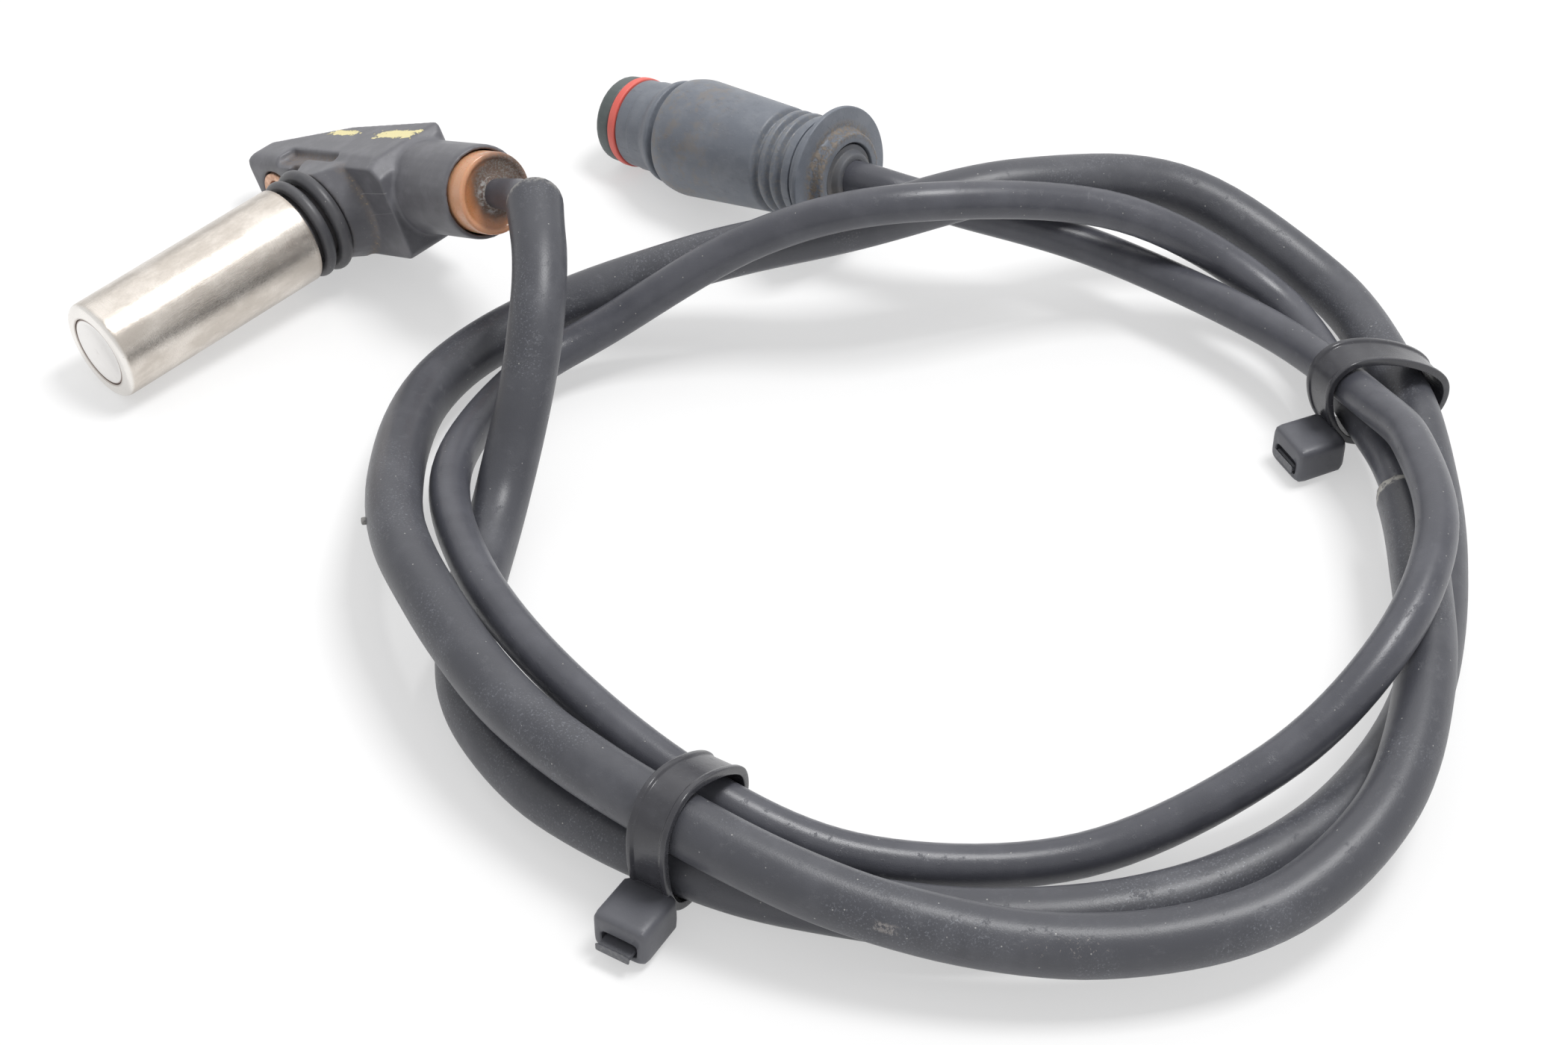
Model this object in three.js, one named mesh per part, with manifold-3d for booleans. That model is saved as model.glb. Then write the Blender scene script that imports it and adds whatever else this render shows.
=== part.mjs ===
import * as THREE from 'three';
import { mergeVertices } from 'three/addons/utils/BufferGeometryUtils.js';
import Module from 'manifold-3d';

// Camshaft position sensor with its cable, rubber sleeve, two cable ties and round plug.
// Millimetres, +Z up. The origin is on the floor, below the middle of the sensor without its cord.
// The sensor has a frame of its own: x runs along the barrel to its tip, y points out of the cable
// socket, z out of the housing's top, and the origin is the centre of the can's rear edge.
// The plug has one too: x runs from the nose to the rear flange, 0 is the red seal ring.

const wasm = await Module();
wasm.setup();

// Clearances
const FIT_GAP = 0.3;
const STRAP_CLEARANCE = 0.32;

// Pose of the sensor on the floor
const REAR_X = -6.47;
const REAR_Y = -5.05;
const AXIS_HEIGHT = 12.05;
const ROLL_DEGREES = 24;

// Can of the barrel
const CAN_RADIUS = 9;
const CAN_LENGTH = 41.5;
const CAN_WALL = 0.6;
const TIP_ROUND = 1.6;
const TIP_OPENING_RADIUS = 6.4;

// Pole cap, pole pin and magnet
const CAP_RECESS = 0.15;
const CAP_FLANGE_THICKNESS = 1.7;
const PIN_RADIUS = 2.6;
const PIN_LENGTH = 22;
const MAGNET_RADIUS = 4.5;
const MAGNET_LENGTH = 5.4;

// Coil bobbin and winding
const FLANGE_THICKNESS = 1.2;
const BOBBIN_TUBE_WALL = 0.8;
const CARRIER_WALL = 1.4;
const CARRIER_BACK = 2.3;
const WINDING_INSET = 0.5;

// Lead pins
const LEAD_RADIUS = 0.6;
const LEAD_PITCH = 3.6;
const LEAD_SEAT_DEPTH = 1.6;
const LEAD_BEND_RADIUS = 2;
const PLUG_SEAT_DEPTH = 3.6;

// Neck of the housing with the two O-rings
const BAND_RADIUS = 7.8;
const BAND_WIDTH = 0.9;
const FRONT_RING_THICKNESS = 2.2;
const FRONT_RING_OUTER = 9.4;
const REAR_RING_THICKNESS = 2.6;
const REAR_RING_OUTER = 9.8;
const RING_SPACING = 0.9;
const FLARE_START_RADIUS = 8.7;
const FLARE_END_RADIUS = 10.4;
const FLARE_LENGTH = 4;
const FLARE_TOP = 8.3;

// Block of the housing
const BLOCK_FRONT_OFFSET = 0.3;
const BLOCK_RIGHT = 17.8;
const BLOCK_BOTTOM = -9.8;
const BLOCK_TOP = 8.8;
const BLOCK_DEPTH_RIGHT = 16.6;
const BLOCK_DEPTH_LEFT = 12.4;
const KINK_Y = -7.5;
const RIGHT_SLOPE_WIDTH = 2.8;
const RIGHT_SLOPE_DROP = 3;
const FRONT_CHAMFER_LENGTH = 3;
const FRONT_CHAMFER_DROP = 0.9;
const RECESS_LEFT = -15;
const RECESS_RIGHT = 2;
const RECESS_BACK = 3.1;
const RECESS_DEPTH = 1.5;

// Mounting ear with its bushing
const EAR_END = -26;
const EAR_FORWARD = 1.6;
const EAR_THICKNESS = 6.2;
const EAR_CORNER = 1.5;
const EAR_FRONT_ROUND = 2.3;
const EAR_FOOT_RADIUS = 8;
const EAR_ROOT_Y = -12;
const EAR_SIDE_Y = -10.8;
const BUSHING_TO_EAR_END = 8;
const BUSHING_Z = 0.8;
const BUSHING_RADIUS = 5;
const BUSHING_BORE_RADIUS = 3.5;
const BUSHING_PROUD = 0.2;
const SPOT_FACE_RADIUS = 7;

// Cable socket with the potting plug
const SOCKET_X = -21;
const SOCKET_Z = -0.3;
const SOCKET_RADIUS = 8.2;
const SOCKET_END = 34;
const SOCKET_WALL = 0.8;
const SOCKET_FLOOR = 20;
const SOCKET_RIM_ROUND = 0.6;
const AXIAL_BORE_RADIUS = 4.6;
const CROSS_BORE_RADIUS = 4;
const POTTING_PROUD = 3.5;
const POTTING_ROUND = 1;
const POTTING_DISH = 0.6;

// Cable and sleeve
const CABLE_RADIUS = 3.3;
const CABLE_SIDES = 8;
const CABLE_INSERTION = 4.5;
const SLEEVE_OUTER_RADIUS = 4.6;
const SLEEVE_INNER_RADIUS = 3.75;
const SLEEVE_FIRST = 3;
const SLEEVE_LAST = 36.75;
const LONGEST_STEP = 28;

// Cable ties
const STRAP_WIDTH = 6.4;
const STRAP_THICKNESS = 1.3;
const HEAD_LENGTH = 9;
const HEAD_WIDTH = 9;
const HEAD_HEIGHT = 7;
const HEAD_ROUND = 1;
const HEAD_LIFT = 0.5;
const STUB_LENGTH = 3.2;
const STUB_WIDTH = 6;
const FRONT_TIE_X = 38.73;
const FRONT_TIE_Y = 145.35;
const FRONT_TIE_TURN_DEGREES = 14;
const FRONT_HEAD_SHIFT = 0;
const RIGHT_TIE_X = -111.97;
const RIGHT_TIE_Y = 155.25;
const RIGHT_TIE_TURN_DEGREES = -20;
const RIGHT_HEAD_SHIFT = -2.5;

// Plug at the far end of the cable
const PLUG_X = -77.43;
const PLUG_Y = 7.69;
const PLUG_Z = 8.5;
const PLUG_YAW_DEGREES = 95.65;
const PLUG_PITCH_DEGREES = 11.25;
const NOSE_TIP = -3.2;
const NOSE_RADIUS = 8.1;
const NOSE_STEM_RADIUS = 6.4;
const SEAL_RADIUS = 8.4;
const SEAL_WIDTH = 1.6;
const SHELL_FRONT_RADIUS = 8.3;
const SHELL_MAX_RADIUS = 10.9;
const SHELL_REAR_RADIUS = 9.6;
const SHELL_COLLAR_RADIUS = 9.5;
const SHELL_LENGTH = 46;
const SHELL_CABLE_ROOM = 5;
const FLANGE_RADIUS = 12.3;
const FLANGE_REAR = 50.2;
const FLANGE_PLATE = 0.8;
const REAR_COLLAR_RADIUS = 6.8;
const REAR_COLLAR_LENGTH = 2.3;
const GROMMET_RADIUS = 5.9;
const CONTACT_RADIUS = 0.8;
const CONTACT_COUNT = 3;
const CONTACT_CIRCLE = 3.6;
const CONTACT_LENGTH = 16;

// Facets around turned pieces
const TURN_STEPS = 32;
const SMALL_TURN_STEPS = 16;

const degrees = Math.PI / 180;
const finish = (color, roughness, metalness) => (
  new THREE.MeshStandardMaterial({ color, roughness, metalness })
);
const steel = finish('#c9c2b6', 0.35, 1);
const darkSteel = finish('#57504a', 0.5, 0.8);
const copper = finish('#b5714b', 0.5, 0.7);
const coilWire = finish('#a8562c', 0.4, 0.9);
const magnetGrey = finish('#3c3c40', 0.5, 0.6);
const brass = finish('#c2a25a', 0.35, 1);
const housingPlastic = finish('#4a4b4e', 0.6, 0);
const palePlastic = finish('#cfc7b4', 0.6, 0);
const rubber = finish('#2e3033', 0.65, 0);
const amber = finish('#b9703c', 0.35, 0);
const cableBlack = finish('#303134', 0.5, 0);
const sleeveBlack = finish('#3b3c40', 0.7, 0);
const tieBlack = finish('#25262a', 0.35, 0);
const plugPlastic = finish('#4d5258', 0.45, 0);
const noseGreen = finish('#3a4340', 0.5, 0);
const sealRed = finish('#d9604f', 0.5, 0);

// Closed mesh with shared vertices and faces that point out
function closed(geometry) {
  geometry.deleteAttribute('normal');
  geometry.deleteAttribute('uv');
  const merged = mergeVertices(geometry, 1e-4);
  const at = merged.attributes.position;
  const corner = (i) => new THREE.Vector3().fromBufferAttribute(at, i);
  const index = merged.index.array;
  const faces = [];
  let volume = 0;
  for (let i = 0; i < index.length; i += 3) {
    const [a, b, c] = [index[i], index[i + 1], index[i + 2]];
    if (a === b || b === c || c === a) continue;
    faces.push([a, b, c]);
    volume += corner(a).dot(corner(b).cross(corner(c)));
  }
  merged.setIndex(faces.flatMap(([a, b, c]) => (volume < 0 ? [a, c, b] : [a, b, c])));
  merged.computeVertexNormals();
  return merged;
}

// Solid for joins and cuts, and the way back
function solid(geometry) {
  const vertProperties = new Float32Array(geometry.attributes.position.array);
  const triVerts = new Uint32Array(geometry.index.array);
  return new wasm.Manifold(new wasm.Mesh({ numProp: 3, vertProperties, triVerts }));
}

function geometryOf(body) {
  const { vertProperties, triVerts } = body.getMesh();
  const geometry = new THREE.BufferGeometry();
  geometry.setAttribute('position', new THREE.BufferAttribute(new Float32Array(vertProperties), 3));
  geometry.setIndex(Array.from(triVerts));
  return closed(geometry);
}

// Turned piece from a profile of [along, radius] pairs, around x or around y
function turned(profile, axis = 'x', steps = TURN_STEPS) {
  const line = profile.map(([along, radius]) => new THREE.Vector2(radius, along));
  const geometry = new THREE.LatheGeometry(line, steps);
  if (axis === 'x') geometry.rotateZ(-Math.PI / 2);
  return closed(geometry);
}

const rod = (from, to, radius, axis, steps) => (
  turned([[from, 0], [from, radius], [to, radius], [to, 0]], axis, steps)
);

// Quarter of a circle as [a, b] points, angles in degrees
function arc(a, b, radius, start, end, count = 5) {
  return Array.from({ length: count + 1 }, (_, i) => {
    const angle = (start + (end - start) * i / count) * degrees;
    return [a + radius * Math.cos(angle), b + radius * Math.sin(angle)];
  });
}

// Flat outline pushed along the third direction
const PLANES = {
  xy: new THREE.Matrix4(),
  yz: new THREE.Matrix4().makeBasis(
    new THREE.Vector3(0, 1, 0), new THREE.Vector3(0, 0, 1), new THREE.Vector3(1, 0, 0)),
  xz: new THREE.Matrix4().makeBasis(
    new THREE.Vector3(1, 0, 0), new THREE.Vector3(0, 0, 1), new THREE.Vector3(0, 1, 0)),
};

function plate(outline, from, to, plane) {
  const shape = new THREE.Shape(outline.map(([a, b]) => new THREE.Vector2(a, b)));
  const geometry = new THREE.ExtrudeGeometry(shape, { depth: to - from, bevelEnabled: false });
  geometry.translate(0, 0, from);
  geometry.applyMatrix4(PLANES[plane]);
  return closed(geometry);
}

const box = (x0, x1, y0, y1, z0, z1) => (
  plate([[x0, y0], [x1, y0], [x1, y1], [x0, y1]], z0, z1, 'xy')
);

// Curve through fixed stations, with the direction of the whole route at each of them
class Stations extends THREE.Curve {
  constructor(places, tangents) {
    super();
    this.places = places;
    this.tangents = tangents;
  }

  getPoint(t, target = new THREE.Vector3()) {
    const last = this.places.length - 1;
    const i = Math.min(Math.floor(t * last + 1e-6), last - 1);
    return target.lerpVectors(this.places[i], this.places[i + 1], t * last - i);
  }

  getPointAt(u, target) {
    return this.getPoint(u, target);
  }

  getTangentAt(u, target = new THREE.Vector3()) {
    return target.copy(this.tangents[Math.round(u * (this.places.length - 1))]);
  }
}

const ring = (radius, sides, turn = 0) => Array.from({ length: sides }, (_, i) => {
  const angle = 2 * Math.PI * (i + turn) / sides;
  return new THREE.Vector2(radius * Math.cos(angle), radius * Math.sin(angle));
});

function tube(stations, radius, sides, boreRadius = 0) {
  const shape = new THREE.Shape(ring(radius, sides));
  if (boreRadius > 0) shape.holes.push(new THREE.Path(ring(boreRadius, sides).reverse()));
  const steps = stations.places.length - 1;
  return closed(new THREE.ExtrudeGeometry(shape, { steps, extrudePath: stations, bevelEnabled: false }));
}

function piece(name, geometry, material, parent) {
  const mesh = new THREE.Mesh(geometry, material);
  mesh.name = name;
  parent.add(mesh);
  return mesh;
}

// Sensor frame: the tip's rounded lower edge rests on the floor
const group = new THREE.Group();
const sensor = new THREE.Group();
const rolled = new THREE.Group();
const tilt = Math.asin((AXIS_HEIGHT - TIP_ROUND) / Math.hypot(CAN_RADIUS - TIP_ROUND, CAN_LENGTH - TIP_ROUND))
  - Math.atan2(CAN_RADIUS - TIP_ROUND, CAN_LENGTH - TIP_ROUND);
sensor.position.set(REAR_X, REAR_Y, AXIS_HEIGHT);
sensor.rotation.y = tilt;
rolled.rotation.x = ROLL_DEGREES * degrees;
sensor.add(rolled);
group.add(sensor);
group.updateMatrixWorld(true);

// Can of the barrel
const canInner = CAN_RADIUS - CAN_WALL;
const capSeat = CAN_LENGTH - CAN_WALL;
const can = turned([
  [0, canInner],
  [0, CAN_RADIUS],
  ...arc(CAN_LENGTH - TIP_ROUND, CAN_RADIUS - TIP_ROUND, TIP_ROUND, 90, 0),
  [CAN_LENGTH, TIP_OPENING_RADIUS],
  [capSeat, TIP_OPENING_RADIUS],
  [capSeat, canInner - TIP_ROUND],
  [capSeat - TIP_ROUND, canInner],
  [0, canInner],
]);
piece('sensor_can', can, steel, rolled);

// Pole cap with its boss in the can's opening and its flange behind the rim
const capFront = capSeat - FIT_GAP;
const capBack = capFront - CAP_FLANGE_THICKNESS;
const capBoss = TIP_OPENING_RADIUS - FIT_GAP;
const capFlange = canInner - TIP_ROUND - FIT_GAP;
const cap = turned([
  [capBack, 0],
  [capBack, capFlange],
  [capFront, capFlange],
  [capFront, capBoss],
  [CAN_LENGTH - CAP_RECESS, capBoss],
  [CAN_LENGTH - CAP_RECESS, 0],
]);
piece('pole_cap', cap, darkSteel, rolled);

// Pole pin, and the magnet behind it
const pinFront = capBack - FIT_GAP;
const pinBack = pinFront - PIN_LENGTH;
const magnetFront = pinBack - FIT_GAP;
const magnetBack = magnetFront - MAGNET_LENGTH;
piece('pole_pin', rod(pinBack, pinFront, PIN_RADIUS, 'x', SMALL_TURN_STEPS), darkSteel, rolled);
piece('magnet', rod(magnetBack, magnetFront, MAGNET_RADIUS, 'x', SMALL_TURN_STEPS), magnetGrey, rolled);

// Coil bobbin: tube and flanges around the pin, carrier around the magnet, seats for the lead pins
const bobbinFlange = canInner - FIT_GAP;
const bobbinTube = PIN_RADIUS + FIT_GAP + BOBBIN_TUBE_WALL;
const carrierBore = MAGNET_RADIUS + FIT_GAP;
const carrierRadius = carrierBore + CARRIER_WALL;
const carrierEnd = magnetBack - FIT_GAP - CARRIER_BACK;
const spigotEnd = carrierEnd - FIT_GAP;
const rearFlangeFront = magnetFront + FIT_GAP + FLANGE_THICKNESS;
const frontFlangeBack = pinFront - FLANGE_THICKNESS;
const leadSeatRadius = LEAD_RADIUS + FIT_GAP;
const frontFlange = Math.min(bobbinFlange, capFlange);
const bobbinBlank = turned([
  [carrierEnd, 0],
  [carrierEnd, carrierRadius],
  [magnetFront + FIT_GAP, carrierRadius],
  [magnetFront + FIT_GAP, bobbinFlange],
  [rearFlangeFront, bobbinFlange],
  [rearFlangeFront, bobbinTube],
  [frontFlangeBack, bobbinTube],
  [frontFlangeBack, frontFlange],
  [pinFront, frontFlange],
  [pinFront, 0],
], 'x', TURN_STEPS);
const leadSeat = (z) => (
  rod(carrierEnd - 1, carrierEnd + LEAD_SEAT_DEPTH, leadSeatRadius, 'x', 8).translate(0, 0, z)
);
const bobbin = solid(bobbinBlank)
  .subtract(solid(rod(magnetFront - 1, pinFront + 1, PIN_RADIUS + FIT_GAP, 'x', SMALL_TURN_STEPS)))
  .subtract(solid(rod(magnetBack - FIT_GAP, magnetFront + FIT_GAP, carrierBore, 'x', SMALL_TURN_STEPS)))
  .subtract(solid(leadSeat(LEAD_PITCH / 2)))
  .subtract(solid(leadSeat(-LEAD_PITCH / 2)));
piece('coil_bobbin', geometryOf(bobbin), palePlastic, rolled);

const windingOuter = frontFlange - WINDING_INSET;
const windingInner = bobbinTube + FIT_GAP;
const winding = turned([
  [rearFlangeFront + FIT_GAP, windingInner],
  [rearFlangeFront + FIT_GAP, windingOuter],
  [frontFlangeBack - FIT_GAP, windingOuter],
  [frontFlangeBack - FIT_GAP, windingInner],
  [rearFlangeFront + FIT_GAP, windingInner],
]);
piece('coil_winding', winding, coilWire, rolled);

// Neck: band behind the can, one groove for both O-rings, then the flare
const frontRingCentre = -BAND_WIDTH - FIT_GAP - FRONT_RING_THICKNESS / 2;
const rearRingCentre = frontRingCentre - FRONT_RING_THICKNESS / 2 - RING_SPACING - REAR_RING_THICKNESS / 2;
const grooveRadius = Math.min(
  FRONT_RING_OUTER - FRONT_RING_THICKNESS, REAR_RING_OUTER - REAR_RING_THICKNESS) - FIT_GAP;
const grooveBack = rearRingCentre - REAR_RING_THICKNESS / 2 - FIT_GAP;
const blockFront = grooveBack - FLARE_LENGTH - BLOCK_FRONT_OFFSET;

function ringAround(centre, outer, thickness) {
  const r = thickness / 2;
  const points = arc(centre, outer - r, r, 0, 360, 8);
  points[points.length - 1] = points[0];
  return turned(points);
}
piece('front_o_ring', ringAround(frontRingCentre, FRONT_RING_OUTER, FRONT_RING_THICKNESS), rubber, rolled);
piece('rear_o_ring', ringAround(rearRingCentre, REAR_RING_OUTER, REAR_RING_THICKNESS), rubber, rolled);

const spigotRadius = canInner - FIT_GAP;
const neck = turned([
  [spigotEnd, 0],
  [spigotEnd, spigotRadius],
  [0, spigotRadius],
  [0, BAND_RADIUS],
  [-BAND_WIDTH, BAND_RADIUS],
  [-BAND_WIDTH, grooveRadius],
  [blockFront - 1, grooveRadius],
  [blockFront - 1, 0],
]);
const flareBlank = turned([
  [grooveBack, 0],
  [grooveBack, FLARE_START_RADIUS],
  [grooveBack - FLARE_LENGTH * 0.45, FLARE_START_RADIUS + (FLARE_END_RADIUS - FLARE_START_RADIUS) * 0.38],
  [grooveBack - FLARE_LENGTH, FLARE_END_RADIUS],
  [blockFront - 1, FLARE_END_RADIUS],
  [blockFront - 1, 0],
]);
const flare = solid(flareBlank)
  .subtract(solid(box(blockFront - 2, grooveBack + 1, -20, 20, FLARE_TOP, FLARE_TOP + 20)));

// Block: plan outline cut with the outline seen along the barrel, whose foot just meets the floor
const earFront = blockFront + EAR_FORWARD;
const earBack = earFront - EAR_THICKNESS;
const backLeft = blockFront - BLOCK_DEPTH_LEFT;
const backRight = blockFront - BLOCK_DEPTH_RIGHT;
const plan = [
  [earFront, EAR_SIDE_Y],
  [earFront, EAR_END + EAR_CORNER * 0.5],
  [earFront - EAR_CORNER * 0.5, EAR_END],
  [earBack + EAR_CORNER * 0.5, EAR_END],
  [earBack, EAR_END + EAR_CORNER * 0.5],
  [backLeft, KINK_Y],
  [backRight, BLOCK_RIGHT - 2.5],
  [backRight + 1, BLOCK_RIGHT - 1.5],
  [blockFront, BLOCK_RIGHT],
  [blockFront, EAR_SIDE_Y],
];
const roll = ROLL_DEGREES * degrees;
const floorLevel = -(AXIS_HEIGHT - Math.sin(tilt) * earFront) / Math.cos(tilt);
const footY = EAR_END + EAR_FOOT_RADIUS;
const footZ = (floorLevel + EAR_FOOT_RADIUS - footY * Math.sin(roll)) / Math.cos(roll);
const elevation = [
  [EAR_END + EAR_CORNER, BLOCK_TOP],
  ...arc(EAR_END + EAR_CORNER, BLOCK_TOP - EAR_CORNER, EAR_CORNER, 90, 180, 3).slice(1),
  ...arc(footY, footZ, EAR_FOOT_RADIUS, 180, 270, 15),
  [EAR_ROOT_Y, footZ - EAR_FOOT_RADIUS],
  [EAR_ROOT_Y + BLOCK_TOP * 0.4, BLOCK_BOTTOM],
  [BLOCK_RIGHT - 1, BLOCK_BOTTOM],
  [BLOCK_RIGHT, BLOCK_BOTTOM + 1],
  [BLOCK_RIGHT, BLOCK_TOP - RIGHT_SLOPE_DROP],
  [BLOCK_RIGHT - RIGHT_SLOPE_WIDTH, BLOCK_TOP],
];
const chamferBack = blockFront - FRONT_CHAMFER_LENGTH;
const chamferSlope = FRONT_CHAMFER_DROP / FRONT_CHAMFER_LENGTH;
const frontChamfer = plate([
  [chamferBack, BLOCK_TOP],
  [blockFront + 1, BLOCK_TOP - chamferSlope * (FRONT_CHAMFER_LENGTH + 1)],
  [blockFront + 1, BLOCK_TOP + 1],
  [chamferBack, BLOCK_TOP + 1],
], RECESS_RIGHT, BLOCK_RIGHT + 1, 'xz');
const earRounding = plate([
  ...arc(earFront - EAR_FRONT_ROUND, BLOCK_TOP - EAR_FRONT_ROUND, EAR_FRONT_ROUND, 0, 90, 4),
  [earFront - EAR_FRONT_ROUND, BLOCK_TOP + 1],
  [earFront + 1, BLOCK_TOP + 1],
  [earFront + 1, BLOCK_TOP - EAR_FRONT_ROUND],
], EAR_END - 1, RECESS_LEFT, 'xz');
const recess = box(
  blockFront - RECESS_BACK, earFront + 1, RECESS_LEFT, RECESS_RIGHT, BLOCK_TOP - RECESS_DEPTH, BLOCK_TOP + 1);
const block = solid(plate(plan, BLOCK_BOTTOM - 1, BLOCK_TOP + 1, 'xy'))
  .intersect(solid(plate(elevation, backRight - 1, earFront + 1, 'yz')))
  .subtract(solid(frontChamfer))
  .subtract(solid(earRounding))
  .subtract(solid(recess));

// Cable socket, and the bores for leads, plug and bushing
const socketBore = SOCKET_RADIUS - SOCKET_WALL;
const atSocket = (geometry) => geometry.translate(SOCKET_X, 0, SOCKET_Z);
const socket = atSocket(turned([
  [CROSS_BORE_RADIUS, 0],
  [CROSS_BORE_RADIUS, SOCKET_RADIUS],
  [SOCKET_END - SOCKET_RIM_ROUND, SOCKET_RADIUS],
  [SOCKET_END - SOCKET_RIM_ROUND * 0.3, SOCKET_RADIUS - SOCKET_RIM_ROUND * 0.3],
  [SOCKET_END, SOCKET_RADIUS - SOCKET_RIM_ROUND],
  [SOCKET_END, 0],
], 'y'));
const axialBore = rod(
  SOCKET_X - LEAD_RADIUS - FIT_GAP * 2, spigotEnd + 1, AXIAL_BORE_RADIUS, 'x', SMALL_TURN_STEPS);
const crossBore = atSocket(rod(0, SOCKET_FLOOR + 1, CROSS_BORE_RADIUS, 'y', SMALL_TURN_STEPS));
const pottingBore = atSocket(rod(SOCKET_FLOOR, SOCKET_END + 1, socketBore, 'y'));
const bushingY = EAR_END + BUSHING_TO_EAR_END;
const atBushing = (geometry) => geometry.translate(0, bushingY, BUSHING_Z);
const bushingBore = atBushing(rod(backRight - 1, earFront + 1, BUSHING_RADIUS + FIT_GAP, 'x', TURN_STEPS));
const spotFace = atBushing(rod(backRight - 1, earBack, SPOT_FACE_RADIUS, 'x', TURN_STEPS));
const housing = solid(neck)
  .add(flare)
  .add(block)
  .add(solid(socket))
  .subtract(solid(axialBore))
  .subtract(solid(crossBore))
  .subtract(solid(pottingBore))
  .subtract(solid(bushingBore))
  .subtract(solid(spotFace));
piece('housing', geometryOf(housing), housingPlastic, rolled);

const bushing = atBushing(turned([
  [earBack - BUSHING_PROUD, BUSHING_BORE_RADIUS],
  [earBack - BUSHING_PROUD, BUSHING_RADIUS],
  [earFront + BUSHING_PROUD, BUSHING_RADIUS],
  [earFront + BUSHING_PROUD, BUSHING_BORE_RADIUS],
  [earBack - BUSHING_PROUD, BUSHING_BORE_RADIUS],
]));
piece('mounting_bushing', bushing, copper, rolled);

// Potting plug around the cable's end, with seats for the lead pins
const plugBack = SOCKET_FLOOR + FIT_GAP;
const plugFront = SOCKET_END + POTTING_PROUD;
const plugRadius = socketBore - FIT_GAP;
const cableBore = CABLE_RADIUS + FIT_GAP;
const cableStart = plugFront - CABLE_INSERTION;
const pottingBlank = turned([
  [plugBack, 0],
  [plugBack, plugRadius],
  ...arc(plugFront - POTTING_ROUND, plugRadius - POTTING_ROUND, POTTING_ROUND, 0, 90, 3)
    .map(([a, b]) => [a, b]).reverse(),
  [plugFront - POTTING_DISH, cableBore],
  [cableStart - FIT_GAP, cableBore],
  [cableStart - FIT_GAP, 0],
], 'y');
const plugSeat = (z) => (
  rod(plugBack - 1, plugBack + PLUG_SEAT_DEPTH, leadSeatRadius, 'y', 8).translate(SOCKET_X, 0, z)
);
const potting = solid(atSocket(pottingBlank))
  .subtract(solid(plugSeat(LEAD_PITCH / 2)))
  .subtract(solid(plugSeat(-LEAD_PITCH / 2)));
piece('potting_plug', geometryOf(potting), amber, rolled);

// Lead pins: along the barrel's axis, then a bend towards the socket
function leadStations(z) {
  const start = carrierEnd + LEAD_SEAT_DEPTH - FIT_GAP;
  const end = plugBack + PLUG_SEAT_DEPTH - FIT_GAP;
  const bend = arc(SOCKET_X + LEAD_BEND_RADIUS, LEAD_BEND_RADIUS, LEAD_BEND_RADIUS, 270, 180, 4);
  const places = [[start, 0], ...bend, [end, 0]].map(([x, y]) => new THREE.Vector3(x, y, z));
  places[places.length - 1].set(SOCKET_X, end, z);
  const tangents = places.map((_, i) => {
    const angle = Math.min(Math.max((i - 1) / 4, 0), 1) * 90 * degrees;
    return new THREE.Vector3(-Math.cos(angle), Math.sin(angle), 0);
  });
  return new Stations(places, tangents);
}
piece('lead_pin_1', tube(leadStations(LEAD_PITCH / 2), LEAD_RADIUS, 8), brass, rolled);
piece('lead_pin_2', tube(leadStations(-LEAD_PITCH / 2), LEAD_RADIUS, 8), brass, rolled);

// Plug frame: x from the nose to the rear flange, 0 at the seal ring
const plug = new THREE.Group();
plug.position.set(PLUG_X, PLUG_Y, PLUG_Z);
plug.rotation.set(0, -PLUG_PITCH_DEGREES * degrees, PLUG_YAW_DEGREES * degrees, 'ZYX');
group.add(plug);
group.updateMatrixWorld(true);

// Nose insulator: rounded nose, stem inside the seal ring and the shell, seats for the contacts
const stemEnd = CONTACT_LENGTH + NOSE_TIP + 1;
const noseBack = -SEAL_WIDTH / 2 - FIT_GAP;
const noseBlank = turned([
  [NOSE_TIP, 0],
  [NOSE_TIP, NOSE_RADIUS - 1.4],
  [NOSE_TIP + 0.5, NOSE_RADIUS - 0.5],
  [NOSE_TIP + 1.2, NOSE_RADIUS],
  [noseBack, NOSE_RADIUS],
  [noseBack, NOSE_STEM_RADIUS],
  [stemEnd, NOSE_STEM_RADIUS],
  [stemEnd, 0],
]);
const contactPlaces = Array.from({ length: CONTACT_COUNT }, (_, i) => {
  const angle = 2 * Math.PI * i / CONTACT_COUNT;
  return [CONTACT_CIRCLE * Math.cos(angle), CONTACT_CIRCLE * Math.sin(angle)];
});
let nose = solid(noseBlank);
contactPlaces.forEach(([y, z], i) => {
  const seat = rod(NOSE_TIP - 1, stemEnd + 1, CONTACT_RADIUS + FIT_GAP, 'x', 8).translate(0, y, z);
  nose = nose.subtract(solid(seat));
  const contact = rod(NOSE_TIP + 0.5, NOSE_TIP + CONTACT_LENGTH, CONTACT_RADIUS, 'x', 8).translate(0, y, z);
  piece(`contact_${i + 1}`, contact, brass, plug);
});
piece('nose_insulator', geometryOf(nose), noseGreen, plug);

// Red seal ring on the stem
const stemFit = NOSE_STEM_RADIUS + FIT_GAP;
const seal = turned([
  [-SEAL_WIDTH / 2, stemFit],
  [-SEAL_WIDTH / 2, SEAL_RADIUS - 0.3],
  [-SEAL_WIDTH / 2 + 0.3, SEAL_RADIUS],
  [SEAL_WIDTH / 2 - 0.3, SEAL_RADIUS],
  [SEAL_WIDTH / 2, SEAL_RADIUS - 0.3],
  [SEAL_WIDTH / 2, stemFit],
  [-SEAL_WIDTH / 2, stemFit],
]);
piece('red_seal_ring', seal, sealRed, plug);

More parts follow.
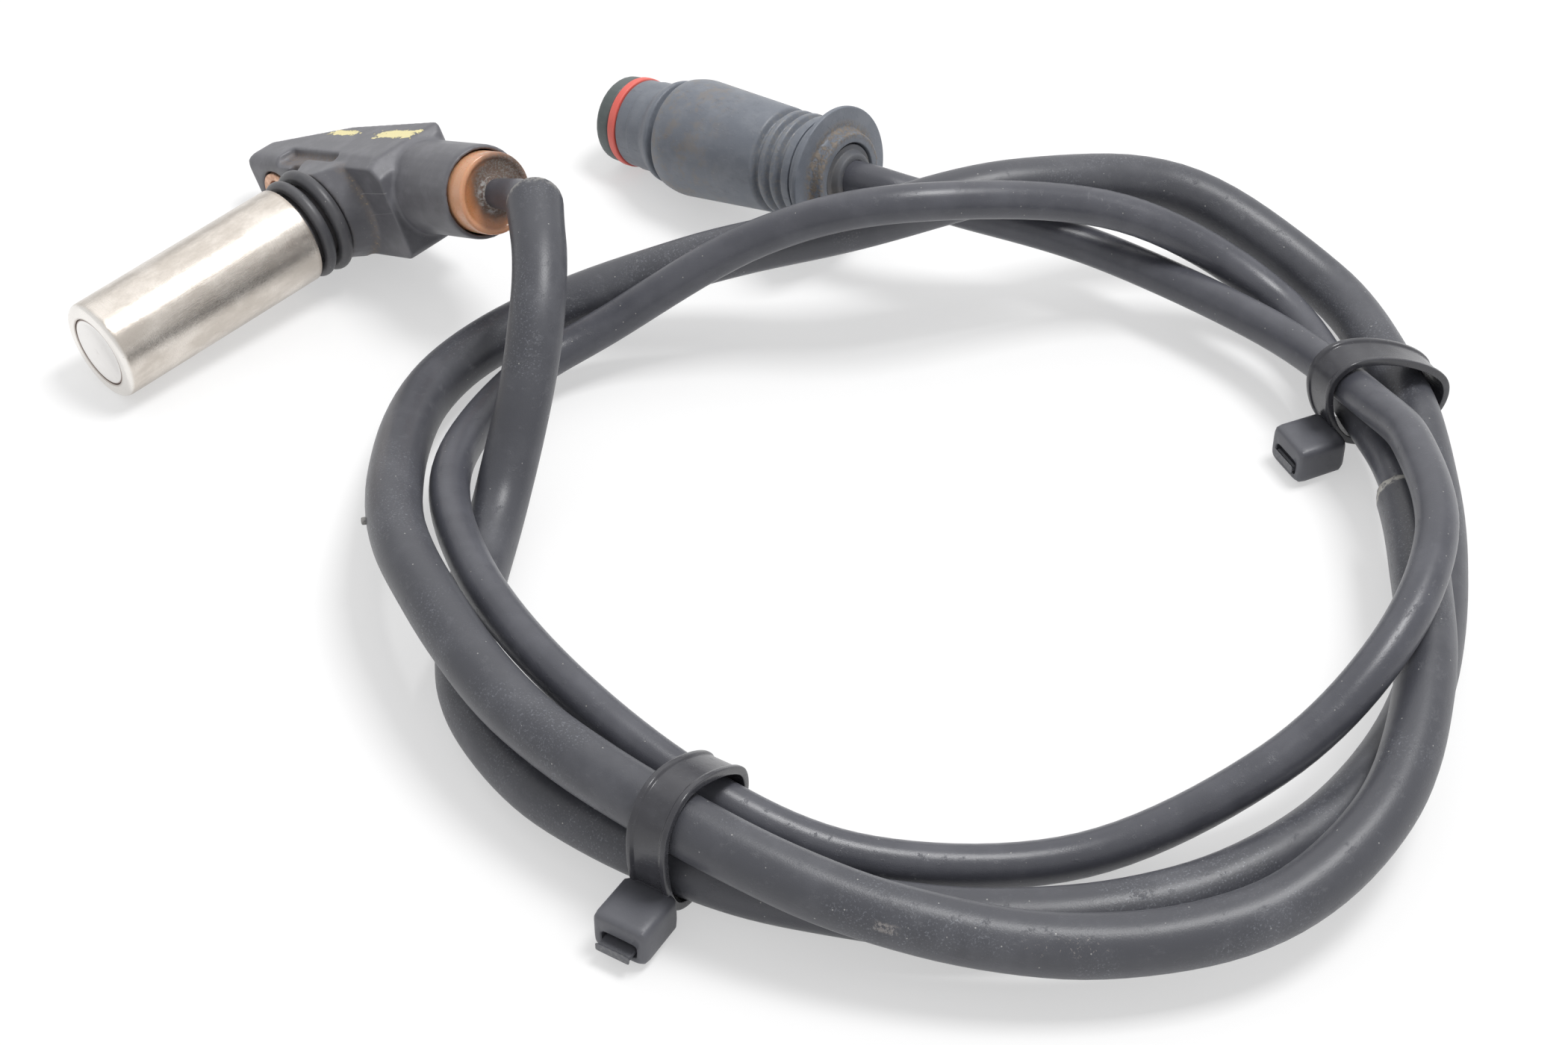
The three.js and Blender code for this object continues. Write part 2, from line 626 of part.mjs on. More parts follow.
// Shell: stepped front, conical grip, two ribs and a collar
const shellFront = SEAL_WIDTH / 2 + FIT_GAP;
const shell = turned([
  [shellFront, stemFit],
  [shellFront, SHELL_FRONT_RADIUS],
  [8.3, SHELL_FRONT_RADIUS],
  [8.9, SHELL_FRONT_RADIUS + 0.8],
  [9.5, SHELL_FRONT_RADIUS + 0.3],
  [10.4, SHELL_FRONT_RADIUS + 0.9],
  [12.3, SHELL_MAX_RADIUS - 1.1],
  [14, SHELL_MAX_RADIUS],
  [16, SHELL_MAX_RADIUS],
  [SHELL_LENGTH - 9, SHELL_REAR_RADIUS],
  [SHELL_LENGTH - 8, SHELL_REAR_RADIUS - 1],
  [SHELL_LENGTH - 7, SHELL_REAR_RADIUS - 0.2],
  [SHELL_LENGTH - 6, SHELL_REAR_RADIUS - 0.2],
  [SHELL_LENGTH - 5.2, SHELL_REAR_RADIUS - 1],
  [SHELL_LENGTH - 4.4, SHELL_REAR_RADIUS - 0.2],
  [SHELL_LENGTH - 3.4, SHELL_REAR_RADIUS - 0.2],
  [SHELL_LENGTH - 2.5, SHELL_REAR_RADIUS - 1],
  [SHELL_LENGTH - 1.8, SHELL_COLLAR_RADIUS],
  [SHELL_LENGTH, SHELL_COLLAR_RADIUS],
  [SHELL_LENGTH, SHELL_CABLE_ROOM],
  [stemEnd + FIT_GAP, SHELL_CABLE_ROOM],
  [stemEnd + FIT_GAP, stemFit],
  [shellFront, stemFit],
]);
piece('plug_shell', shell, plugPlastic, plug);

// Rear flange with its collar, and the grommet around the cable
const flangeFront = SHELL_LENGTH + FIT_GAP;
const collarEnd = FLANGE_REAR + REAR_COLLAR_LENGTH;
const grommetSeat = GROMMET_RADIUS + FIT_GAP;
const rearFlange = turned([
  [flangeFront, grommetSeat],
  [flangeFront, SHELL_COLLAR_RADIUS],
  [FLANGE_REAR - FLANGE_PLATE - 1.6, SHELL_COLLAR_RADIUS],
  [FLANGE_REAR - FLANGE_PLATE, FLANGE_RADIUS],
  [FLANGE_REAR, FLANGE_RADIUS],
  [FLANGE_REAR, REAR_COLLAR_RADIUS],
  [collarEnd, REAR_COLLAR_RADIUS],
  [collarEnd, grommetSeat],
  [flangeFront, grommetSeat],
]);
piece('rear_flange', rearFlange, plugPlastic, plug);
const grommet = turned([
  [flangeFront, cableBore],
  [flangeFront, GROMMET_RADIUS],
  [collarEnd - 0.2, GROMMET_RADIUS],
  [collarEnd - 0.2, cableBore],
  [flangeFront, cableBore],
], 'x', SMALL_TURN_STEPS);
piece('cable_grommet', grommet, rubber, plug);

// Cable route: it starts in the potting plug, ends in the grommet, and its other points lie where
// the cable lies on the floor and on itself
const fromSensor = (y) => rolled.localToWorld(new THREE.Vector3(SOCKET_X, y, SOCKET_Z));
const fromPlug = (x) => plug.localToWorld(new THREE.Vector3(x, 0, 0));
const route = [
  fromSensor(cableStart),
  fromSensor(cableStart + 8.5),
  new THREE.Vector3(-25, 38.5, 32.5),
  new THREE.Vector3(-22, 44.5, 33.5),
  new THREE.Vector3(-17, 51.5, 32.5),
  new THREE.Vector3(-10, 58.5, 28),
  new THREE.Vector3(-2, 64, 19),
  new THREE.Vector3(10.5, 71, 7),
  new THREE.Vector3(28, 84.5, 5),
  new THREE.Vector3(41.5, 100, 5.5),
  new THREE.Vector3(46.5, 122, 6),
  new THREE.Vector3(42.5, 145.5, 6.5),
  new THREE.Vector3(33, 164.5, 5.5),
  new THREE.Vector3(16, 186, 5),
  new THREE.Vector3(-6.5, 201.5, 5),
  new THREE.Vector3(-32.5, 206.5, 5),
  new THREE.Vector3(-60.5, 201, 5),
  new THREE.Vector3(-87.5, 185, 5),
  new THREE.Vector3(-108.5, 166, 6),
  new THREE.Vector3(-119, 152, 7),
  new THREE.Vector3(-130, 129.5, 7.5),
  new THREE.Vector3(-123, 101, 17),
  new THREE.Vector3(-95, 86, 24.5),
  new THREE.Vector3(-70.5, 72.5, 22),
  new THREE.Vector3(-49.5, 52.5, 14),
  new THREE.Vector3(-23, 38, 7),
  new THREE.Vector3(1, 41, 6.5),
  new THREE.Vector3(27.5, 66, 15),
  new THREE.Vector3(39.5, 90, 18),
  new THREE.Vector3(45.5, 118, 17.5),
  new THREE.Vector3(42.5, 150, 16.5),
  new THREE.Vector3(32.5, 177, 13),
  new THREE.Vector3(15.5, 199, 10),
  new THREE.Vector3(-7, 213.5, 10.5),
  new THREE.Vector3(-31.5, 214.5, 13),
  new THREE.Vector3(-54.5, 204.5, 15),
  new THREE.Vector3(-75.5, 188, 15),
  new THREE.Vector3(-92.5, 172, 12),
  new THREE.Vector3(-105.5, 155.5, 7.5),
  new THREE.Vector3(-119, 127, 9),
  new THREE.Vector3(-105, 102.5, 22),
  new THREE.Vector3(-73.5, 83.5, 30.5),
  new THREE.Vector3(-54, 65.5, 24),
  new THREE.Vector3(-30.5, 51.5, 10),
  new THREE.Vector3(-11, 49.5, 7),
  new THREE.Vector3(13.5, 63, 11),
  new THREE.Vector3(28.5, 86.5, 15),
  new THREE.Vector3(35.5, 115, 16),
  new THREE.Vector3(33, 143.5, 11.5),
  new THREE.Vector3(21.5, 165, 5.5),
  new THREE.Vector3(-1.5, 185, 4),
  new THREE.Vector3(-28, 197.5, 12.5),
  new THREE.Vector3(-51, 199.5, 21.5),
  new THREE.Vector3(-73, 191.5, 24.5),
  new THREE.Vector3(-91, 175, 21),
  new THREE.Vector3(-100, 161, 16.5),
  new THREE.Vector3(-109.5, 132.5, 11),
  new THREE.Vector3(-106, 98, 11),
  new THREE.Vector3(-91.5, 78, 17),
  new THREE.Vector3(-86, 70.5, 19),
  fromPlug(collarEnd + 4.5),
  fromPlug(flangeFront + 0.7),
];

const routeCurve = new THREE.CatmullRomCurve3(route, false, 'catmullrom', 0.5);
const stationMarks = [];
route.forEach((point, i) => {
  stationMarks.push(i);
  if (i + 1 < route.length && point.distanceTo(route[i + 1]) > LONGEST_STEP) stationMarks.push(i + 0.5);
});
stationMarks.push(SLEEVE_LAST);
stationMarks.sort((a, b) => a - b);

function along(from, to) {
  const marks = stationMarks.filter((mark) => mark >= from && mark <= to);
  const places = marks.map((mark) => routeCurve.getPoint(mark / (route.length - 1)));
  const tangents = marks.map((mark) => routeCurve.getTangent(mark / (route.length - 1)));
  return new Stations(places, tangents);
}
const cableStations = along(0, route.length - 1);
const sleeveStations = along(SLEEVE_FIRST, SLEEVE_LAST);
piece('signal_cable', tube(cableStations, CABLE_RADIUS, CABLE_SIDES), cableBlack, group);
const sleeveTube = tube(sleeveStations, SLEEVE_OUTER_RADIUS, CABLE_SIDES, SLEEVE_INNER_RADIUS);
piece('rubber_sleeve', sleeveTube, sleeveBlack, group);

// Sections of the strands where a strap crosses them, as circles in the tie's own plane
function strandsThrough(tie, reach, offsets) {
  const inverse = tie.matrixWorld.clone().invert();
  const places = cableStations.places.map((place) => place.clone().applyMatrix4(inverse));
  const circles = [];
  for (let i = 0; i + 1 < places.length; i += 1) {
    const inSleeve = stationMarks[i] >= SLEEVE_FIRST && stationMarks[i + 1] <= SLEEVE_LAST;
    const radius = inSleeve ? SLEEVE_OUTER_RADIUS : CABLE_RADIUS;
    const run = places[i + 1].clone().sub(places[i]);
    const slant = Math.abs(run.z) / run.length();
    for (const offset of offsets) {
      const t = (offset - places[i].z) / run.z;
      const at = places[i].clone().addScaledVector(run, t);
      if (t >= 0 && t <= 1 && Math.hypot(at.x, at.y) < reach) circles.push([at.x, at.y, radius / slant]);
    }
  }
  return circles;
}

// Belt around circles at a clearance: the convex outline of all their points
function belt(circles, clearance) {
  const points = circles.flatMap(([x, y, radius]) => (
    ring(radius + clearance, 24, 0.5).map((p) => [p.x + x, p.y + y])
  ));
  points.sort((a, b) => a[0] - b[0] || a[1] - b[1]);
  const half = (list) => {
    const chain = [];
    for (const p of list) {
      while (chain.length > 1) {
        const [a, b] = chain.slice(-2);
        if ((b[0] - a[0]) * (p[1] - a[1]) - (b[1] - a[1]) * (p[0] - a[0]) > 1e-2) break;
        chain.pop();
      }
      chain.push(p);
    }
    return chain.slice(0, -1);
  };
  return [...half(points), ...half(points.slice().reverse())];
}

// How far an outline reaches along x at a height
function reachAt(outline, height) {
  const reaches = outline.map(([x0, y0], i) => {
    const [x1, y1] = outline[(i + 1) % outline.length];
    const t = (height - y0) / (y1 - y0);
    return t >= 0 && t <= 1 ? x0 + (x1 - x0) * t : -Infinity;
  });
  return Math.max(...reaches);
}

// Cable tie: strap around the strands, head at its outer side, cut end of the strap in the head
function cableTie(name, x, y, turn, headShift) {
  const tie = new THREE.Group();
  tie.position.set(x, y, 0);
  tie.rotation.set(Math.PI / 2, 0, turn * degrees, 'ZYX');
  group.add(tie);
  group.updateMatrixWorld(true);
  const half = STRAP_WIDTH / 2;
  const circles = strandsThrough(tie, 21, [-half, 0, half]);
  const inner = belt(circles, STRAP_CLEARANCE);
  const outer = belt(circles, STRAP_CLEARANCE + STRAP_THICKNESS);
  const opening = solid(plate(inner, -half - 1, half + 1, 'xy'));
  const strap = solid(plate(outer, -half, half, 'xy')).subtract(opening);
  const headTop = HEAD_LIFT + HEAD_HEIGHT;
  const headStart = Math.max(reachAt(inner, HEAD_LIFT + HEAD_HEIGHT / 2), reachAt(inner, headTop)) + 0.1;
  const headEnd = headStart + HEAD_LENGTH;
  const headOutline = [
    [headStart, HEAD_LIFT + HEAD_ROUND],
    [headStart + HEAD_ROUND, HEAD_LIFT],
    [headEnd - HEAD_ROUND, HEAD_LIFT],
    [headEnd, HEAD_LIFT + HEAD_ROUND],
    [headEnd, headTop - HEAD_ROUND],
    [headEnd - HEAD_ROUND, headTop],
    [headStart + HEAD_ROUND, headTop],
    [headStart, headTop - HEAD_ROUND],
  ];
  const head = plate(headOutline, headShift - HEAD_WIDTH / 2, headShift + HEAD_WIDTH / 2, 'xy');
  const middle = HEAD_LIFT + HEAD_HEIGHT / 2;
  const stub = box(
    headEnd - 1, headEnd + STUB_LENGTH, middle - STRAP_THICKNESS / 2, middle + STRAP_THICKNESS / 2,
    headShift - STUB_WIDTH / 2, headShift + STUB_WIDTH / 2);
  const body = strap.add(solid(head)).add(solid(stub));
  piece(name, geometryOf(body), tieBlack, tie);
}
cableTie('front_cable_tie', FRONT_TIE_X, FRONT_TIE_Y, FRONT_TIE_TURN_DEGREES, FRONT_HEAD_SHIFT);
cableTie('right_cable_tie', RIGHT_TIE_X, RIGHT_TIE_Y, RIGHT_TIE_TURN_DEGREES, RIGHT_HEAD_SHIFT);

export default group;
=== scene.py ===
"""Dresses a camshaft position sensor with its cable, rubber sleeve, two ties and round plug."""

import logging
import math
from dataclasses import dataclass
from enum import Enum
from typing import Callable, Iterable, Mapping, Sequence

import bmesh
import bpy
import numpy as np
from mathutils import Matrix, Vector


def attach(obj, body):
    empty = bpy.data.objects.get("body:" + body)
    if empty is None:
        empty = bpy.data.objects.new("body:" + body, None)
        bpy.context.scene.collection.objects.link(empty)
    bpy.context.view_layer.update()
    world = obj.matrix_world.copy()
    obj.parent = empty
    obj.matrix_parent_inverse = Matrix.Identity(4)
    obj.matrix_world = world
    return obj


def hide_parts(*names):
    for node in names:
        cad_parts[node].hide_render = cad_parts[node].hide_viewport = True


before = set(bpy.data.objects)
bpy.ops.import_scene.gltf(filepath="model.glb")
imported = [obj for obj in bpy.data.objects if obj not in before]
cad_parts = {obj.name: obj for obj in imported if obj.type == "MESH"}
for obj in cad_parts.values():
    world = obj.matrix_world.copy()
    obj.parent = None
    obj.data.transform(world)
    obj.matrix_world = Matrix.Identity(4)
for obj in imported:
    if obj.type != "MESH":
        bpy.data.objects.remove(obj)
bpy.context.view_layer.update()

Colour = tuple[float, float, float, float]

LOG = logging.getLogger("sensor")
BODY = "root"

# Metres: a millimetre, the distance below which points merge, and the shortest edge that stays
MM = 0.001
WELD = 1e-6
SLIVER = 1e-7

# Sizes in mm that several pieces share. The socket's axis is a place (x, z) in the sensor's frame
BARREL_RADIUS = 9.0
BARREL_LENGTH = 41.5
TIP_ROUNDING = 1.6
AXIS_HEIGHT = 12.05
CAP_RADIUS = 6.33
SOCKET_AXIS = (-21.0, -0.3)


def srgb(red: float, green: float, blue: float) -> Colour:
    """Gives the linear colour of an sRGB colour: ((c + 0.055) / 1.055) to the power 2.4, or c / 12.92
    where c is small.

    Args:
        red: its red, from 0 to 255.
        green: its green.
        blue: its blue.

    Returns:
        Red, green and blue from 0 to 1, and an alpha of 1.
    """
    parts = [(c / 255 + 0.055) ** 2.4 / 1.055 ** 2.4 if c > 10.3 else c / 3294.6
             for c in (red, green, blue)]
    return (*parts, 1.0)


class Axis(Enum):
    """The axis of a frame that a profile is turned about."""

    BARREL = "x"
    SOCKET = "y"


@dataclass(frozen=True)
class Pose:
    """A frame of a sub-assembly: its origin in mm and its turn about X, then Y, then Z, in degrees."""

    origin: tuple[float, float, float]
    turn: tuple[float, float, float]

    def rotation(self) -> np.ndarray:
        """Multiplies the turns about X, then Y, then Z.

        Returns:
            The 3x3 matrix whose columns are the frame's axes.
        """
        x, y, z = (math.radians(a) for a in self.turn)
        about_x = np.array([[1, 0, 0], [0, math.cos(x), -math.sin(x)], [0, math.sin(x), math.cos(x)]])
        about_y = np.array([[math.cos(y), 0, math.sin(y)], [0, 1, 0], [-math.sin(y), 0, math.cos(y)]])
        about_z = np.array([[math.cos(z), -math.sin(z), 0], [math.sin(z), math.cos(z), 0], [0, 0, 1]])
        return about_z @ about_y @ about_x

    def place(self, points: np.ndarray) -> np.ndarray:
        """Moves points of the frame, in mm, to the object's frame: turned, then shifted."""
        return points @ self.rotation().T + np.array(self.origin)

    def local(self, points: np.ndarray) -> np.ndarray:
        """Moves points of the object's frame, in mm, into this frame."""
        return (points - np.array(self.origin)) @ self.rotation()


def sensor_tilt(height: float, radius: float, length: float, rounding: float) -> float:
    """Finds the barrel's tilt at which its rounded lower tip edge meets the floor.

    Args:
        height: height of the frame's origin above the floor, in mm.
        radius: the barrel's radius.
        length: its length from the origin to the tip.
        rounding: radius of the tip's rounded edge.

    Returns:
        The tilt in degrees: asin((height - rounding) / reach) - atan((radius - rounding) /
        (length - rounding)), where reach runs from the origin to the rounding's middle.
    """
    reach = math.hypot(radius - rounding, length - rounding)
    return math.degrees(math.asin((height - rounding) / reach)
                        - math.atan2(radius - rounding, length - rounding))


TILT = sensor_tilt(AXIS_HEIGHT, BARREL_RADIUS, BARREL_LENGTH, TIP_ROUNDING)
SENSOR = Pose((-6.47, -5.05, AXIS_HEIGHT), (24.0, TILT, 0.0))
PLUG = Pose((-77.43, 7.69, 8.5), (0.0, -11.25, 95.65))
FLOOR = Pose((0.0, 0.0, 0.0), (0.0, 0.0, 0.0))


# Surfaces


@dataclass
class Patch:
    """A grid of points in mm, rows by columns, which may close on itself in either direction."""

    grid: np.ndarray
    wrap_rows: bool = False
    wrap_columns: bool = True
    cap_start: bool = False
    cap_end: bool = False

    def faces(self, offset: int) -> tuple[list[list[int]], np.ndarray]:
        """Joins neighbouring points into quads and closes open ends with one face.

        Args:
            offset: number of the patch's first vertex in the mesh.

        Returns:
            The faces as vertex numbers, and the UV of each quad's corners: columns go
            around from 0 to 1, rows follow the length in cm.
        """
        rows, columns = self.grid.shape[:2]
        i = np.arange(rows if self.wrap_rows else rows - 1)[:, None]
        j = np.arange(columns if self.wrap_columns else columns - 1)[None, :]
        i, j = np.broadcast_arrays(i, j)
        ahead, beside = (i + 1) % rows, (j + 1) % columns
        corners = [i * columns + j, i * columns + beside, ahead * columns + beside, ahead * columns + j]
        quads = np.stack(corners, -1).reshape(-1, 4) + offset
        middle = self.grid.mean(1)
        steps = np.linalg.norm(np.roll(middle, -1, 0) - middle, axis=1)
        turn = np.linalg.norm(np.roll(self.grid, -1, 0) - self.grid, axis=2).mean(1)
        length = np.concatenate([[0], np.cumsum(np.maximum(steps, turn))]) / 10
        u, v = [j / columns, (j + 1) / columns], [length[i], length[i + 1]]
        uv = np.stack([np.stack([u[a], v[b]], -1) for a, b in ((0, 0), (1, 0), (1, 1), (0, 1))], -2)
        faces = quads.tolist()
        if self.cap_start:
            faces.append(list(range(offset, offset + columns)))
        if self.cap_end:
            faces.append(list(range(offset + (rows - 1) * columns, offset + rows * columns)))
        return faces, uv.reshape(-1, 2)


def dress(piece: bpy.types.Object, material: bpy.types.Material,
          replaced: Sequence[str]) -> None:
    """Gives a piece its finish, its body and the CAD nodes that it stands for.

    Args:
        piece: the object.
        material: its finish.
        replaced: names of the CAD nodes that it replaces.
    """
    piece.data.materials.clear()
    piece.data.materials.append(material)
    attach(piece, BODY)
    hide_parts(*replaced)
    LOG.info("%s: %d faces", piece.name, len(piece.data.polygons))


def shaded(mesh: bpy.types.Mesh, sharp: float) -> None:
    """Shades a mesh smooth except along edges sharper than an angle in degrees."""
    mesh.shade_smooth()
    mesh.set_sharp_from_angle(angle=math.radians(sharp))


def build(name: str, patches: Iterable[Patch], sharp: float = 40.0) -> bpy.types.Object:
    """Makes one object from patches, merges poles and seams, and points its faces outwards.

    Args:
        name: name of the object.
        patches: its surfaces, in mm in the object's frame.
        sharp: angle in degrees above which an edge stays sharp.

    Returns:
        The new object, in metres at the origin.
    """
    points, faces, uvs, offset = [], [], [], 0
    for patch in patches:
        new_faces, uv = patch.faces(offset)
        points.append(patch.grid.reshape(-1, 3) * MM)
        caps = sum(len(face) for face in new_faces[len(uv) // 4:])
        faces += new_faces
        uvs += [uv, np.zeros((caps, 2))]
        offset += patch.grid.shape[0] * patch.grid.shape[1]
    mesh = bpy.data.meshes.new(name)
    mesh.from_pydata(np.concatenate(points).tolist(), [], faces)
    layer = mesh.uv_layers.new(name="UVMap")
    layer.data.foreach_set("uv", np.concatenate(uvs).astype(np.float32).ravel())
    work = bmesh.new()
    work.from_mesh(mesh)
    bmesh.ops.remove_doubles(work, verts=work.verts, dist=WELD)
    bmesh.ops.dissolve_degenerate(work, edges=work.edges, dist=SLIVER)
    bmesh.ops.recalc_face_normals(work, faces=work.faces)
    work.to_mesh(mesh)
    work.free()
    shaded(mesh, sharp)
    piece = bpy.data.objects.new(name, mesh)
    bpy.context.scene.collection.objects.link(piece)
    return piece


def rounded(corners: Sequence[tuple[float, ...]], closed: bool = False, count: int = 5) -> np.ndarray:
    """Rounds the corners of a line: each is replaced by a parabola between points beside it.

    Args:
        corners: (a, b) or (a, b, rounding) for each corner, in mm.
        closed: whether the last corner leads back to the first.
        count: number of steps along each rounding.

    Returns:
        The points of the rounded line, (n, 2).
    """
    flat = np.array([corner[:2] for corner in corners], float)
    radii = [corner[2] if len(corner) > 2 else 0.0 for corner in corners]
    t = np.linspace(0, 1, count + 1)[:, None]
    out = []
    for i, (corner, radius) in enumerate(zip(flat, radii)):
        inner = closed or 0 < i < len(flat) - 1
        if radius <= 0 or not inner:
            out.append(corner[None])
            continue
        before, after = flat[i - 1] - corner, flat[(i + 1) % len(flat)] - corner
        reach = min(radius, np.linalg.norm(before) * 0.49, np.linalg.norm(after) * 0.49)
        start = corner + before / np.linalg.norm(before) * reach
        end = corner + after / np.linalg.norm(after) * reach
        out.append(start * (1 - t) ** 2 + corner * 2 * t * (1 - t) + end * t ** 2)
    return np.concatenate(out)


def turned(pose: Pose, line: np.ndarray, sides: int = 96, axis: Axis = Axis.BARREL,
           centre: tuple[float, float] = (0.0, 0.0), closed: bool = False) -> Patch:
    """Turns a line of (along, radius) around an axis of a frame: radius times cosine and sine.

    Args:
        pose: the frame.
        line: the profile in mm, (n, 2).
        sides: number of columns around.
        axis: the axis to turn about.
        centre: the axis's place in the other two coordinates.
        closed: whether the profile closes on itself.

    Returns:
        The surface as a patch in the object's frame.
    """
    angle = np.linspace(0, 2 * math.pi, sides, endpoint=False)[None, :]
    along = np.repeat(line[:, :1], sides, 1)
    first = line[:, 1:] * np.cos(angle) + centre[0]
    second = line[:, 1:] * np.sin(angle) + centre[1]
    order = [along, first, second] if axis is Axis.BARREL else [first, along, second]
    return Patch(pose.place(np.stack(order, -1)), wrap_rows=closed)


def loft(pose: Pose, stations: Sequence[tuple[float, float, float, float, float]], power: float = 6.0,
         columns: int = 64) -> Patch:
    """Joins rounded rectangles along x: cosine and sine raised to 2 / power, times the half sizes.

    Args:
        pose: the frame.
        stations: (x, middle y, middle z, half y, half z) of each section, in mm.
        power: squareness of the sections.
        columns: number of columns around.

    Returns:
        The surface as a patch.
    """
    angle = np.linspace(0, 2 * math.pi, columns, endpoint=False) + math.pi / columns
    c, s = np.cos(angle), np.sin(angle)
    flat = np.stack([np.sign(c) * np.abs(c) ** (2 / power), np.sign(s) * np.abs(s) ** (2 / power)], -1)
    rows = np.array(stations, float)
    yz = rows[:, None, 1:3] + flat[None] * rows[:, None, 3:5]
    x = np.repeat(rows[:, :1, None], columns, 1)
    return Patch(pose.place(np.concatenate([x, yz], -1)))


# Shader writing


class Field:
    """A socket of a material that takes part in expressions: each operator adds a Math node."""

    def __init__(self, recipe: "Recipe", socket: bpy.types.NodeSocket | None) -> None:
        """Keeps the socket and the recipe that it belongs to."""
        self.recipe = recipe
        self.socket = socket

    def _math(self, operation: str, *values: object) -> "Field":
        """Adds a Math node with this operation and returns its output."""
        return self.recipe.add("Math", {"operation": operation}, dict(enumerate(values)))

    def __add__(self, other: object) -> "Field":
        """Adds."""
        return self._math("ADD", self, other)

    __radd__ = __add__

    def __sub__(self, other: object) -> "Field":
        """Subtracts."""
        return self._math("SUBTRACT", self, other)

    def __rsub__(self, other: object) -> "Field":
        """Subtracts this from the other."""
        return self._math("SUBTRACT", other, self)

    def __mul__(self, other: object) -> "Field":
        """Multiplies."""
        return self._math("MULTIPLY", self, other)

    __rmul__ = __mul__

    def __truediv__(self, other: object) -> "Field":
        """Divides."""
        return self._math("DIVIDE", self, other)

    def __abs__(self) -> "Field":
        """Gives the size without the sign."""
        return self._math("ABSOLUTE", self)

    def least(self, other: object) -> "Field":
        """Gives the smaller of two values."""
        return self._math("MINIMUM", self, other)

    def most(self, other: object) -> "Field":
        """Gives the larger of two values."""
        return self._math("MAXIMUM", self, other)

    def root(self) -> "Field":
        """Gives the square root."""
        return self._math("SQRT", self)

    def sine(self) -> "Field":
        """Gives the sine."""
        return self._math("SINE", self)

    def ramp(self, low: float, high: float) -> "Field":
        """Rises smoothly from 0 to 1, or falls where low is above high.

        Args:
            low: value at which the result is 0.
            high: value at which it is 1.

        Returns:
            The result, held at 0 and 1 beyond the two values.
        """
        settings = {"interpolation_type": "SMOOTHSTEP"}
        if low < high:
            return self.recipe.add("MapRange", settings, {0: self, 1: low, 2: high, 3: 0.0, 4: 1.0})
        return self.recipe.add("MapRange", settings, {0: self, 1: high, 2: low, 3: 1.0, 4: 0.0})


